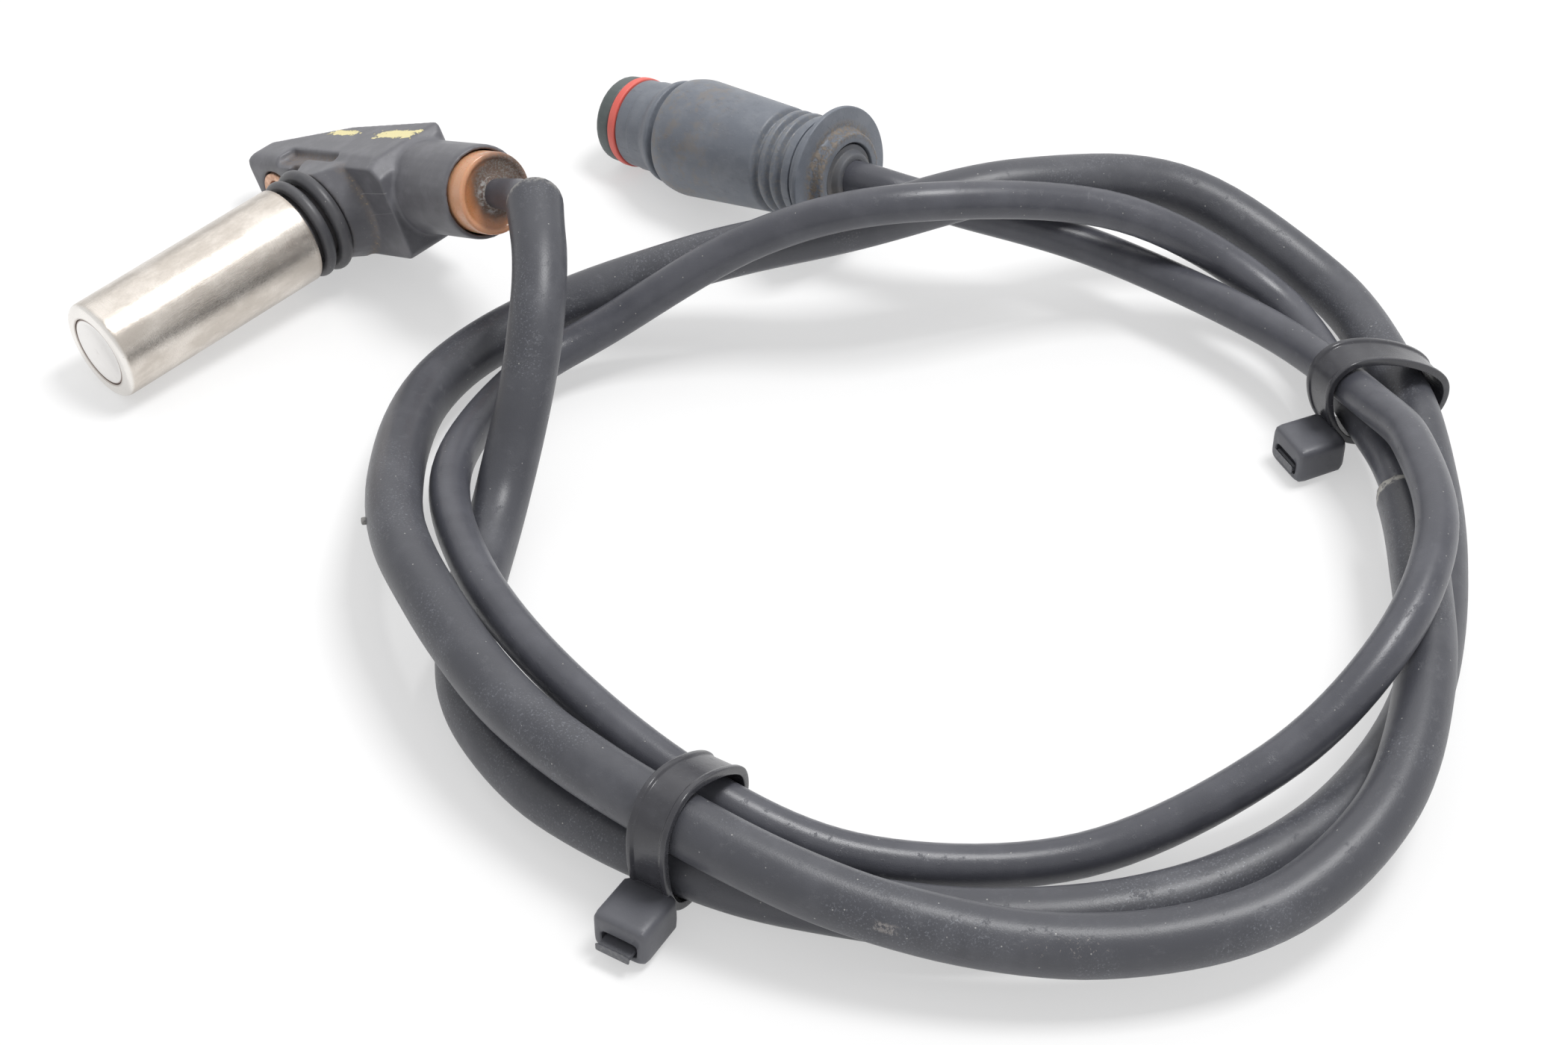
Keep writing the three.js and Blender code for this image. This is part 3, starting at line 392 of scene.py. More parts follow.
class Recipe:
    """Writes the nodes of one procedural material, or of the world."""

    def __init__(self, name: str, world: bpy.types.World | None = None) -> None:
        """Starts an empty node tree.

        Args:
            name: name of the new material.
            world: a world that gets the nodes in place of a material.
        """
        self.owner = world or bpy.data.materials.new(name)
        self.owner.use_nodes = True
        self.tree = self.owner.node_tree
        self.tree.nodes.clear()

    def add(self, kind: str, settings: Mapping[str, object] | None = None,
            inputs: Mapping[object, object] | None = None, output: object = 0) -> Field:
        """Adds a node: its settings are set first, then the values or links of its sockets.

        Args:
            kind: node type without its ShaderNode prefix.
            settings: properties of the node, such as a Math node's operation.
            inputs: socket name or number to a value, or to a Field that is linked.
            output: name or number of the output that is returned.

        Returns:
            The chosen output, or a field without a socket where the node ends the tree.
        """
        node = self.tree.nodes.new("ShaderNode" + kind)
        for name, value in (settings or {}).items():
            setattr(node, name, value)
        for name, value in (inputs or {}).items():
            if isinstance(value, Field):
                self.tree.links.new(value.socket, node.inputs[name])
            else:
                node.inputs[name].default_value = value
        return Field(self, node.outputs[output] if node.outputs else None)

    def place(self, pose: Pose = FLOOR) -> Field:
        """Gives the place on the object in mm.

        Args:
            pose: the sub-assembly's frame in which the place is given.

        Returns:
            The place as a vector.
        """
        here = self.add("TexCoord", output="Object")
        turn = tuple(math.radians(a) for a in pose.turn)
        origin = tuple(c * MM for c in pose.origin)
        return self.add("Mapping", {"vector_type": "TEXTURE"}, {
            "Vector": here, "Location": origin, "Rotation": turn, "Scale": (MM, MM, MM)})

    def around(self) -> Field:
        """Gives the piece's own UV: once around from 0 to 1, and the length in cm."""
        return self.add("TexCoord", output="UV")

    def parts(self, vector: Field) -> tuple[Field, Field, Field]:
        """Splits a vector into its three numbers.

        Args:
            vector: the vector.

        Returns:
            Its x, y and z.
        """
        x = self.add("SeparateXYZ", inputs={0: vector})
        node = x.socket.node
        return x, Field(self, node.outputs[1]), Field(self, node.outputs[2])

    def stretched(self, vector: Field, scale: tuple[float, float, float]) -> Field:
        """Multiplies a vector by three numbers."""
        return self.add("VectorMath", {"operation": "MULTIPLY"}, {0: vector, 1: scale})

    def noise(self, vector: Field, scale: float, detail: float = 3.0, rough: float = 0.55) -> Field:
        """Gives smooth noise around 0.5."""
        return self.add("TexNoise", {}, {
            "Vector": vector, "Scale": scale, "Detail": detail, "Roughness": rough})

    def specks(self, vector: Field, scale: float, size: float) -> Field:
        """Gives 1 on small scattered dots: near the middle of some cells."""
        cells = self.add("TexVoronoi", {}, {"Vector": vector, "Scale": scale}, "Distance")
        return cells.ramp(size, size * 0.5)

    def seen(self) -> Field:
        """Tells the rays that see from the rays that carry light.

        Returns:
            1 for camera, glossy and transmission rays, 0 for the others.
        """
        camera, glossy, clear = (self.add("LightPath", output=f"Is {ray} Ray")
                                 for ray in ("Camera", "Glossy", "Transmission"))
        return camera.most(glossy).most(clear)

    def blend(self, factor: object, first: object, second: object) -> Field:
        """Mixes two colours by a factor. The Mix node's colour sockets have the numbers 6, 7 and 2."""
        return self.add("Mix", {"data_type": "RGBA"}, {0: factor, 6: first, 7: second}, 2)

    def finish(self, colour: object, rough: object, metal: object = 0.0, height: object = None,
               depth: float = 0.1, **plain: object) -> bpy.types.Material:
        """Ends the material in one Principled BSDF.

        Args:
            colour: base colour, or a field.
            rough: roughness, or a field.
            metal: metallic, or a field.
            height: field of the relief in mm, or None.
            depth: how far in mm the relief rises where its field rises by 1.
            plain: other sockets by name with underscores, plain numbers.

        Returns:
            The material.
        """
        inputs: dict[object, object] = {"Base Color": colour, "Roughness": rough, "Metallic": metal}
        inputs.update({name.replace("_", " "): value for name, value in plain.items()})
        if height is not None:
            relief = {"Strength": 1.0, "Distance": depth * MM, "Height": height}
            inputs["Normal"] = self.add("Bump", {}, relief)
        shader = self.add("BsdfPrincipled", {}, inputs)
        self.add("OutputMaterial", {}, {"Surface": shader})
        return self.owner


@dataclass(frozen=True)
class SteelFinish:
    """Satin stainless steel with fine marks around the barrel, a rubbed patch and stained edges."""

    light: Colour = srgb(224, 217, 209)
    dark: Colour = srgb(200, 192, 183)
    bright: Colour = srgb(248, 246, 243)
    stain: Colour = srgb(104, 78, 58)
    dull: Colour = srgb(138, 134, 130)
    tip: float = BARREL_LENGTH
    worn_middle: float = 21.0

    def material(self) -> bpy.types.Material:
        """Writes the material: blotches, fine turning marks, scuffs, brown edges at both ends, and a painted
        highlight at the tip.

        Returns:
            The material.
        """
        r = Recipe("can_steel")
        at = r.place(SENSOR)
        x, y, z = r.parts(at)
        radius = (y * y + z * z).root()
        blotch = r.noise(r.stretched(at, (0.6, 1, 1)), 0.2, 5, 0.65)
        fine = r.noise(r.stretched(at, (9, 0.35, 0.35)), 1.0, 3, 0.7)
        scuff = r.noise(r.stretched(at, (0.5, 2.2, 2.2)), 0.9, 5, 0.7).ramp(0.62, 0.74)
        edge = x.ramp(self.tip - 0.7, self.tip - 0.1) * radius.ramp(6.9, 6.4)
        rear = x.ramp(0.9, 0.1)
        stained = (edge * 0.5 + rear * 0.35 + scuff * 0.14).least(1.0)
        streak = r.noise(r.stretched(at, (0.35, 5, 5)), 1.0, 4, 0.7).ramp(0.5, 0.6)
        worn = streak * y.ramp(5.5, 7.5) * z.ramp(-2.5, 0.5) * abs(x - self.worn_middle).ramp(13.0, 5.0)
        # painted highlight: the base colour turns brighter towards the rounded tip and its end face
        tip = x.ramp(self.tip - 1.0, self.tip - 0.3) * 0.7
        metal = r.blend(tip, r.blend(blotch.ramp(0.35, 0.68), self.dark, self.light), self.bright)
        colour = r.blend(worn * 0.4, r.blend(stained, metal, self.stain), self.dull)
        rough = 0.17 + blotch * 0.1 + fine * 0.08 + scuff * 0.12 + worn * 0.2
        return r.finish(colour, rough, 1.0, fine * 0.6 + blotch, 0.05)


@dataclass(frozen=True)
class CapFinish:
    """Bright satin steel disc with a fine brown ring at its rim."""

    metal: Colour = srgb(243, 241, 239)
    rust: Colour = srgb(96, 58, 36)
    rim: float = CAP_RADIUS

    def material(self) -> bpy.types.Material:
        """Writes the material: pale disc, brown towards the rim and in small clouds.

        Returns:
            The material.
        """
        r = Recipe("dark_steel")
        at = r.place(SENSOR)
        _, y, z = r.parts(at)
        radius = (y * y + z * z).root()
        cloud = r.noise(at, 0.5, 5, 0.65)
        ring = radius.ramp(self.rim - 0.4, self.rim - 0.1)
        rust = (ring * 0.8 + cloud.ramp(0.6, 0.8) * 0.2).least(1.0)
        colour = r.blend(rust, self.metal, self.rust)
        return r.finish(colour, 0.36 + cloud * 0.16, 1.0 - rust * 0.6, cloud, 0.05)


@dataclass(frozen=True)
class MouldedFinish:
    """Matte charcoal moulded plastic with dust, dried dirt, two paint marks and hair scratches."""

    plastic: Colour = srgb(97, 97, 102)
    worn: Colour = srgb(117, 117, 122)
    dust: Colour = srgb(128, 112, 98)
    dirt: Colour = srgb(168, 148, 112)
    paint: Colour = srgb(232, 220, 164)
    hair: Colour = srgb(150, 150, 152)
    speck: Colour = srgb(168, 164, 156)
    front: float = -11.5
    top: float = 8.8
    flare: float = 10.1
    first_mark: tuple[float, ...] = (-21.4, -7.2, 1.1, 5.6, 0.05)
    second_mark: tuple[float, ...] = (-22.5, 9.6, 1.7, 6.2, 0.14)

    @staticmethod
    def mark(x: Field, y: Field, box: tuple[float, ...]) -> Field:
        """Gives a paint mark's field: 1 in the middle of a slanted box and 0 at its edge.

        Args:
            x: field of the place along the barrel, in mm.
            y: field of the place across it, in mm.
            box: its middle x and y, its half sizes along x and y, and its slant.

        Returns:
            The field.
        """
        middle_x, middle_y, half_x, half_y, slant = box
        across = y - middle_y
        return 1.0 - (abs(across) / half_y).most(abs(x - middle_x + across * slant) / half_x)

    def material(self) -> bpy.types.Material:
        """Writes the material: worn clouds, dust in the creases, dirt, paint marks and two scratches.

        Returns:
            The material.
        """
        r = Recipe("housing_plastic")
        at = r.place(SENSOR)
        x, y, z = r.parts(at)
        radius = (y * y + z * z).root()
        grain = r.noise(at, 6.0, 3, 0.6)
        cloud = r.noise(at, 0.22, 4, 0.6)
        ragged = r.noise(at, 1.4, 5, 0.75)
        wear = cloud.ramp(0.42, 0.66) * 0.55
        colour = r.blend(wear, self.plastic, self.worn)
        crease = abs(radius - self.flare).ramp(1.3, 0.3) * abs(x - self.front).ramp(1.5, 0.4)
        crease = crease * z.ramp(8.8, 7.4)
        recess = x.ramp(self.front + 1.2, self.front - 0.4) * abs(y + 6.5).ramp(9.5, 7.5)
        recess = recess * z.ramp(8.5, 7.6)
        recess = recess * x.ramp(self.front - 3.6, self.front - 3.0) * z.ramp(5.5, 6.8)
        neck = x.ramp(-8.0, -7.0) * 0.5
        dusty = ((crease * 0.35 + recess * 0.5 + neck * 0.4) * ragged.ramp(0.36, 0.6)).least(0.85)
        colour = r.blend(dusty, colour, self.dust)
        spots = r.noise(at, 1.6, 5, 0.85).ramp(0.56, 0.64) * crease * y.ramp(1.0, 3.0) * 0.75
        colour = r.blend(spots, colour, self.dirt)
        flat = z.ramp(self.top - 0.35, self.top - 0.15)
        flakes = (r.noise(r.stretched(at, (1.2, 0.8, 1)), 0.9, 5, 0.7) - 0.5) * 2.2
        first, second = self.mark(x, y, self.first_mark), self.mark(x, y, self.second_mark)
        paint = flat * (first + flakes).ramp(0.2, 0.3).most((second + flakes * 0.9).ramp(0.12, 0.22))
        colour = r.blend(paint, colour, self.paint)
        on_front = abs(x - self.front).ramp(0.6, 0.2)
        upper = abs(z - (y * 0.055 + 2.33)).ramp(0.12, 0.03) * abs(y - 12.3).ramp(6.8, 5.6)
        lower = abs(z - (y * 0.104 - 2.4)).ramp(0.1, 0.02) * abs(y - 11.4).ramp(6.8, 5.4) * 0.5
        scratch = on_front * (upper + lower).least(1.0) * 0.55
        colour = r.blend(scratch, colour, self.hair)
        colour = r.blend(r.specks(at, 0.9, 0.09) * 0.45, colour, self.speck)
        rough = 0.36 + grain * 0.12 + dusty * 0.3 + paint * 0.05
        height = grain * 0.35 + cloud * 0.8 + paint * 1.6 + dusty * ragged * 1.5 - scratch
        return r.finish(colour, rough, 0.0, height, 0.06)


@dataclass(frozen=True)
class RubberFinish:
    """Dark rubber or soft plastic with a faint bloom, fine grain, specks and pale scuffs."""

    name: str
    base: Colour
    bloom: Colour
    pose: Pose = FLOOR
    roughness: float = 0.45
    scuffs: float = 0.2
    grain: float = 0.04
    speck_size: float = 0.07
    speck: Colour = srgb(190, 188, 182)

    def material(self) -> bpy.types.Material:
        """Writes the material: clouds of bloom, stretched scuffs, dust specks and fine relief.

        Returns:
            The material.
        """
        r = Recipe(self.name)
        at = r.place(self.pose)
        cloud = r.noise(at, 0.12, 4, 0.6)
        scuff = r.noise(r.stretched(at, (1, 1, 2.2)), 0.55, 6, 0.75).ramp(0.56, 0.72)
        grain = r.noise(at, 5.0, 3, 0.6)
        colour = r.blend(cloud.ramp(0.38, 0.7) * 0.45 + scuff * self.scuffs, self.base, self.bloom)
        dots = r.specks(at, 0.55, self.speck_size)
        colour = r.blend(dots * 0.6, colour, self.speck)
        rough = self.roughness + cloud * 0.12 + scuff * self.scuffs * 0.5
        return r.finish(colour, rough, 0.0, grain * 0.5 + cloud + scuff * 0.6, self.grain)


@dataclass(frozen=True)
class ResinFinish:
    """Amber potting resin: pale amber rim, dark brown, gritty and crusted towards the cable."""

    rim: Colour = srgb(212, 158, 122)
    amber: Colour = srgb(184, 124, 84)
    brown: Colour = srgb(98, 78, 66)
    grit: Colour = srgb(128, 124, 120)
    crust: Colour = srgb(188, 190, 190)

    def material(self) -> bpy.types.Material:
        """Writes the material from the distance to the socket's axis.

        Returns:
            The material.
        """
        r = Recipe("potting_resin")
        at = r.place(SENSOR)
        x, y, z = r.parts(at)
        across, above = x - SOCKET_AXIS[0], z - SOCKET_AXIS[1]
        radius = (across * across + above * above).root()
        cloud = r.noise(at, 0.45, 4, 0.6)
        shifted = radius + (cloud - 0.5) * 2.0 + across * 0.34 - above * 0.12
        colour = r.blend(radius.ramp(5.8, 6.6), self.amber, self.rim)
        face = y.ramp(36.0, 36.6)
        colour = r.blend(shifted.ramp(7.2, 3.8) * face, colour, self.brown)
        grit = r.noise(at, 2.4, 5, 0.78)
        colour = r.blend(shifted.ramp(6.0, 3.6) * grit.ramp(0.46, 0.6) * face * 0.8, colour, self.grit)
        crust = across.ramp(0.2, 1.8) * radius.ramp(3.8, 3.0) * face
        crust = crust * r.noise(at, 1.3, 4, 0.7).ramp(0.45, 0.56)
        colour = r.blend(crust * 0.6, colour, self.crust)
        rough = 0.24 + shifted.ramp(6.0, 4.4) * 0.3 + grit * 0.08
        return r.finish(colour, rough, 0.0, cloud + shifted.ramp(5.6, 4.2) * grit * 1.4, 0.1,
                        Subsurface_Weight=0.25, Subsurface_Scale=0.002, Coat_Weight=0.25)


@dataclass(frozen=True)
class PlugFinish:
    """Blue grey moulded plastic with handling marks, dusty ribs and brown dirt around the collar."""

    base: Colour = srgb(110, 115, 124)
    worn: Colour = srgb(130, 134, 141)
    dirt: Colour = srgb(132, 120, 106)
    dust: Colour = srgb(146, 141, 132)
    line: Colour = srgb(150, 152, 154)
    speck: Colour = srgb(170, 168, 160)

    def material(self) -> bpy.types.Material:
        """Writes the material: clouds, rubbed lines, dusty ribs, dirt at the collar, a film in front.

        Returns:
            The material.
        """
        r = Recipe("plug_plastic")
        at = r.place(PLUG)
        x, y, z = r.parts(at)
        radius = (y * y + z * z).root()
        cloud = r.noise(at, 0.25, 5, 0.62)
        rub = r.noise(r.stretched(at, (0.6, 2, 2)), 0.7, 6, 0.75).ramp(0.55, 0.7)
        lines = r.noise(r.stretched(at, (0.15, 4, 4)), 1.3, 3, 0.6).ramp(0.66, 0.72)
        colour = r.blend(cloud.ramp(0.4, 0.68) * 0.5 + rub * 0.3, self.base, self.worn)
        colour = r.blend(lines * 0.3, colour, self.line)
        ragged = r.noise(at, 1.2, 5, 0.7)
        ribs = (x.ramp(36.5, 38.0) * x.ramp(45.5, 43.5) * ragged.ramp(0.46, 0.62)) * 0.35
        colour = r.blend(ribs, colour, self.dust)
        dirt = x.ramp(49.6, 50.3) * radius.ramp(10.4, 8.6) * radius.ramp(6.8, 7.9)
        dirt = dirt * ragged.ramp(0.42, 0.56)
        colour = r.blend(dirt * 0.8, colour, self.dirt)
        film = r.noise(at, 0.4, 5, 0.7).ramp(0.46, 0.62) * x.ramp(12.5, 14.5) * x.ramp(33.0, 22.0)
        colour = r.blend(film * 0.4, colour, self.dirt)
        colour = r.blend(r.specks(at, 0.7, 0.08) * 0.4, colour, self.speck)
        rough = 0.36 + cloud * 0.14 + rub * 0.15 + dirt * 0.3
        return r.finish(colour, rough, 0.0, cloud + rub * 0.5 + dirt * ragged * 1.5, 0.07)


@dataclass(frozen=True)
class PlainFinish:
    """Simple finish of a piece that sits inside: one colour with darker clouds."""

    name: str
    colour: Colour
    metal: float = 0.0
    roughness: float = 0.4
    grain_scale: float = 1.0

    def material(self) -> bpy.types.Material:
        """Writes the material.

        Returns:
            The material.
        """
        r = Recipe(self.name)
        at = r.place()
        cloud = r.noise(at, self.grain_scale, 4, 0.6)
        shade = tuple(c * 0.7 for c in self.colour[:3]) + (1.0,)
        colour = r.blend(cloud.ramp(0.4, 0.65), shade, self.colour)
        return r.finish(colour, self.roughness + cloud * 0.15, self.metal, cloud, 0.04)


@dataclass(frozen=True)
class WindingFinish:
    """Enamelled copper wire wound around the barrel's axis."""

    wire: Colour = srgb(168, 86, 44)
    gap: Colour = srgb(70, 30, 14)
    pitch: float = 0.3

    def material(self) -> bpy.types.Material:
        """Writes the material: a sine along the axis, one wave for each turn of wire.

        Returns:
            The material.
        """
        r = Recipe("coil_wire")
        x, _, _ = r.parts(r.place(SENSOR))
        wave = (x * (2 * math.pi / self.pitch)).sine()
        colour = r.blend(wave * 0.5 + 0.5, self.gap, self.wire)
        return r.finish(colour, 0.35, 0.8, wave, 0.1)


@dataclass(frozen=True)
class BushingFinish:
    """Dull copper coloured metal with a darker skin and small bright wear."""

    copper: Colour = srgb(228, 190, 166)
    dark: Colour = srgb(192, 150, 124)

    def material(self) -> bpy.types.Material:
        """Writes the material: clouds between bright and tarnished copper.

        Returns:
            The material.
        """
        r = Recipe("bushing_copper")
        at = r.place(SENSOR)
        cloud = r.noise(at, 0.7, 5, 0.65)
        fine = r.noise(at, 5.0, 3, 0.6)
        colour = r.blend(cloud.ramp(0.36, 0.62), self.dark, self.copper)
        return r.finish(colour, 0.34 + fine * 0.16, 0.9, fine + cloud, 0.05)


@dataclass(frozen=True)
class SleeveFinish:
    """Matte black rubber sleeve with pale dusty scuffs, and whitish ragged ends, partly dust and partly a
    painted highlight on the cut rims.
    """

    length: float
    rubber: Colour = srgb(71, 72, 78)
    dust: Colour = srgb(122, 123, 129)
    rim: Colour = srgb(186, 183, 176)
    scar: tuple[float, float, float, float] = (71.4, 0.067, 0.22, 0.035)
    grit: tuple[float, float, float, float] = (73.8, 0.133, 0.8, 0.08)
    speck: Colour = srgb(190, 189, 186)
    scraped: Colour = srgb(156, 150, 146)
    powder: Colour = srgb(164, 168, 177)

    @staticmethod
    def patch(along: Field, around: Field, length: float, turn: float, reach: float,
              spread: float) -> Field:
        """Gives 1 inside a soft oblong patch of the sleeve, 0 outside.

        Args:
            along: field of the length along the sleeve in cm.
            around: field of the turn around it, from 0 to 1.
            length: length at the patch's middle.
            turn: turn at its middle.
            reach: half length in cm.
            spread: half width as a share of a turn.

        Returns:
            The field.
        """
        beside = abs(around - turn).ramp(spread, spread * 0.4)
        return abs(along - length).ramp(reach, reach * 0.4) * beside

    def material(self) -> bpy.types.Material:
        """Writes the material: clouds and scuffs, pale ends of dust and painted highlight, a scar, a gritty
        patch and powder.

        Returns:
            The material.
        """
        r = Recipe("sleeve_rubber")
        at = r.place()
        around, along, _ = r.parts(r.around())
        cloud = r.noise(at, 0.09, 4, 0.65)
        scuff = r.noise(r.stretched(at, (1, 1, 2)), 0.32, 7, 0.78).ramp(0.55, 0.72)
        grain = r.noise(at, 4.0, 3, 0.6)
        dusty = (cloud.ramp(0.45, 0.75) * 0.18 + scuff * 0.22).least(1.0)
        colour = r.blend(dusty, self.rubber, self.dust)
        ragged = r.noise(at, 0.9, 5, 0.7)
        # pale ends: whitish dust along both cut rims, with a painted highlight where the rims catch the
        # light
        rim = (along + (ragged - 0.5) * 0.3).ramp(self.length - 0.13, self.length - 0.06)
        colour = r.blend(rim * ragged.ramp(0.38, 0.52) * 0.8, colour, self.rim)
        mouth = along.ramp(0.16, 0.07) * ragged.ramp(0.4, 0.6) * 0.4
        colour = r.blend(mouth, colour, self.rim)
        colour = r.blend(r.specks(at, 0.4, 0.06) * 0.6, colour, self.speck)
        scar = self.patch(along, around, *self.scar) * r.noise(at, 1.5, 5, 0.8).ramp(0.46, 0.54)
        grit = self.patch(along, around, *self.grit) * r.noise(at, 1.9, 4, 0.75).ramp(0.6, 0.66)
        colour = r.blend(scar * 0.6 + grit * 0.55, colour, self.scraped)
        powder = r.noise(at, 3.0, 3, 0.7).ramp(0.54, 0.7) * r.noise(at, 0.05, 2, 0.5).ramp(0.5, 0.6)
        colour = r.blend(powder * 0.32, colour, self.powder)
        rough = 0.33 + cloud * 0.1 + scuff * 0.14
        return r.finish(colour, rough, 0.0, grain * 0.5 + cloud * 1.2 + scuff * 0.6, 0.05)


@dataclass(frozen=True)
class NylonFinish:
    """Glossy black nylon with haze and scratches, a duller head, and a painted glint on the tail's torn end.
    """

    name: str
    pose: Pose
    head_start: float
    head_top: float
    tail_end: float
    nylon: Colour = srgb(58, 58, 63)
    haze: Colour = srgb(80, 81, 86)
    matte: Colour = srgb(92, 93, 99)
    torn_end_glint: Colour = srgb(120, 120, 120)

    def material(self) -> bpy.types.Material:
        """Writes the material in the tie's own frame.

        Returns:
            The material.
        """
        r = Recipe(self.name)
        at = r.place(self.pose)
        x, y, _ = r.parts(at)
        cloud = r.noise(at, 0.3, 4, 0.6)
        scuff = r.noise(r.stretched(at, (1, 1, 0.4)), 1.2, 6, 0.75).ramp(0.6, 0.74)
        ragged = r.noise(at, 2.2, 4, 0.7)
        head = x.ramp(self.head_start - 0.2, self.head_start + 0.2)
        head = head * y.ramp(self.head_top + 0.3, self.head_top)
        colour = r.blend(head, self.nylon, self.matte)
        colour = r.blend(cloud.ramp(0.45, 0.72) * 0.3 + scuff * 0.25, colour, self.haze)
        # painted highlight: the tail's torn end is painted pale as a glint
        torn_end_glint = (x + (ragged - 0.5) * 0.8).ramp(self.tail_end - 0.35, self.tail_end - 0.1)
        colour = r.blend(torn_end_glint * ragged.ramp(0.45, 0.6) * 0.7, colour, self.torn_end_glint)
        rough = 0.2 + head * 0.18 + cloud * 0.1 + scuff * 0.2
        return r.finish(colour, rough, 0.0, cloud + scuff * 0.4 + head * ragged * 0.5, 0.05)


# Cable and sleeve, which are made before the other pieces


ROUTE = (
    (-25, 38.5, 32.5), (-22, 44.5, 33.5), (-17, 51.5, 32.5), (-10, 58.5, 28), (-2, 64, 19), (10.5, 71, 7),
    (28, 84.5, 5), (41.5, 100, 5.5), (46.5, 122, 6), (42.5, 145.5, 6.5), (33, 164.5, 5.5), (16, 186, 5),
    (-6.5, 201.5, 5), (-32.5, 206.5, 5), (-60.5, 201, 5), (-87.5, 185, 5), (-108.5, 166, 6), (-119, 152, 7),
    (-130, 129.5, 7.5), (-123, 101, 17), (-95, 86, 24.5), (-70.5, 72.5, 22), (-49.5, 52.5, 14), (-23, 38, 7),
    (1, 41, 6.5), (27.5, 66, 15), (39.5, 90, 18), (45.5, 118, 17.5), (42.5, 150, 16.5), (32.5, 177, 13),
    (15.5, 199, 10), (-7, 213.5, 10.5), (-31.5, 214.5, 13), (-54.5, 204.5, 15), (-75.5, 188, 15),
    (-92.5, 172, 12), (-105.5, 155.5, 7.5), (-119, 127, 9), (-105, 102.5, 22), (-73.5, 83.5, 30.5),
    (-54, 65.5, 24), (-30.5, 51.5, 10), (-11, 49.5, 7), (13.5, 63, 11), (28.5, 86.5, 15), (35.5, 115, 16),
    (33, 143.5, 11.5), (21.5, 165, 5.5), (-1.5, 185, 4), (-28, 197.5, 12.5), (-51, 199.5, 21.5),
    (-73, 191.5, 24.5), (-91, 175, 21), (-100, 161, 16.5), (-109.5, 132.5, 11), (-106, 98, 11),
    (-91.5, 78, 17), (-86, 70.5, 19),
)


def tube(places: np.ndarray, tangents: np.ndarray, radii: np.ndarray, columns: int) -> np.ndarray:
    """Carries a ring along a line: place + radius * (side * cosine + upward * sine).

    Args:
        places: centres of the rings in mm, (n, 3).
        tangents: directions of the line there.
        radii: radius of each ring, (n,) or (n, columns).
        columns: points around.

    Returns:
        The grid of points, (n, columns, 3).
    """
    side = np.cross(tangents, [0.0, 0.0, 1.0])
    side /= np.linalg.norm(side, axis=1, keepdims=True)
    upward = np.cross(side, tangents)
    angle = np.linspace(0, 2 * math.pi, columns, endpoint=False)[None, :, None]
    ring = side[:, None] * np.cos(angle) + upward[:, None] * np.sin(angle)
    reach = np.broadcast_to(radii.reshape(len(places), -1), (len(places), columns))
    return places[:, None] + ring * reach[..., None]


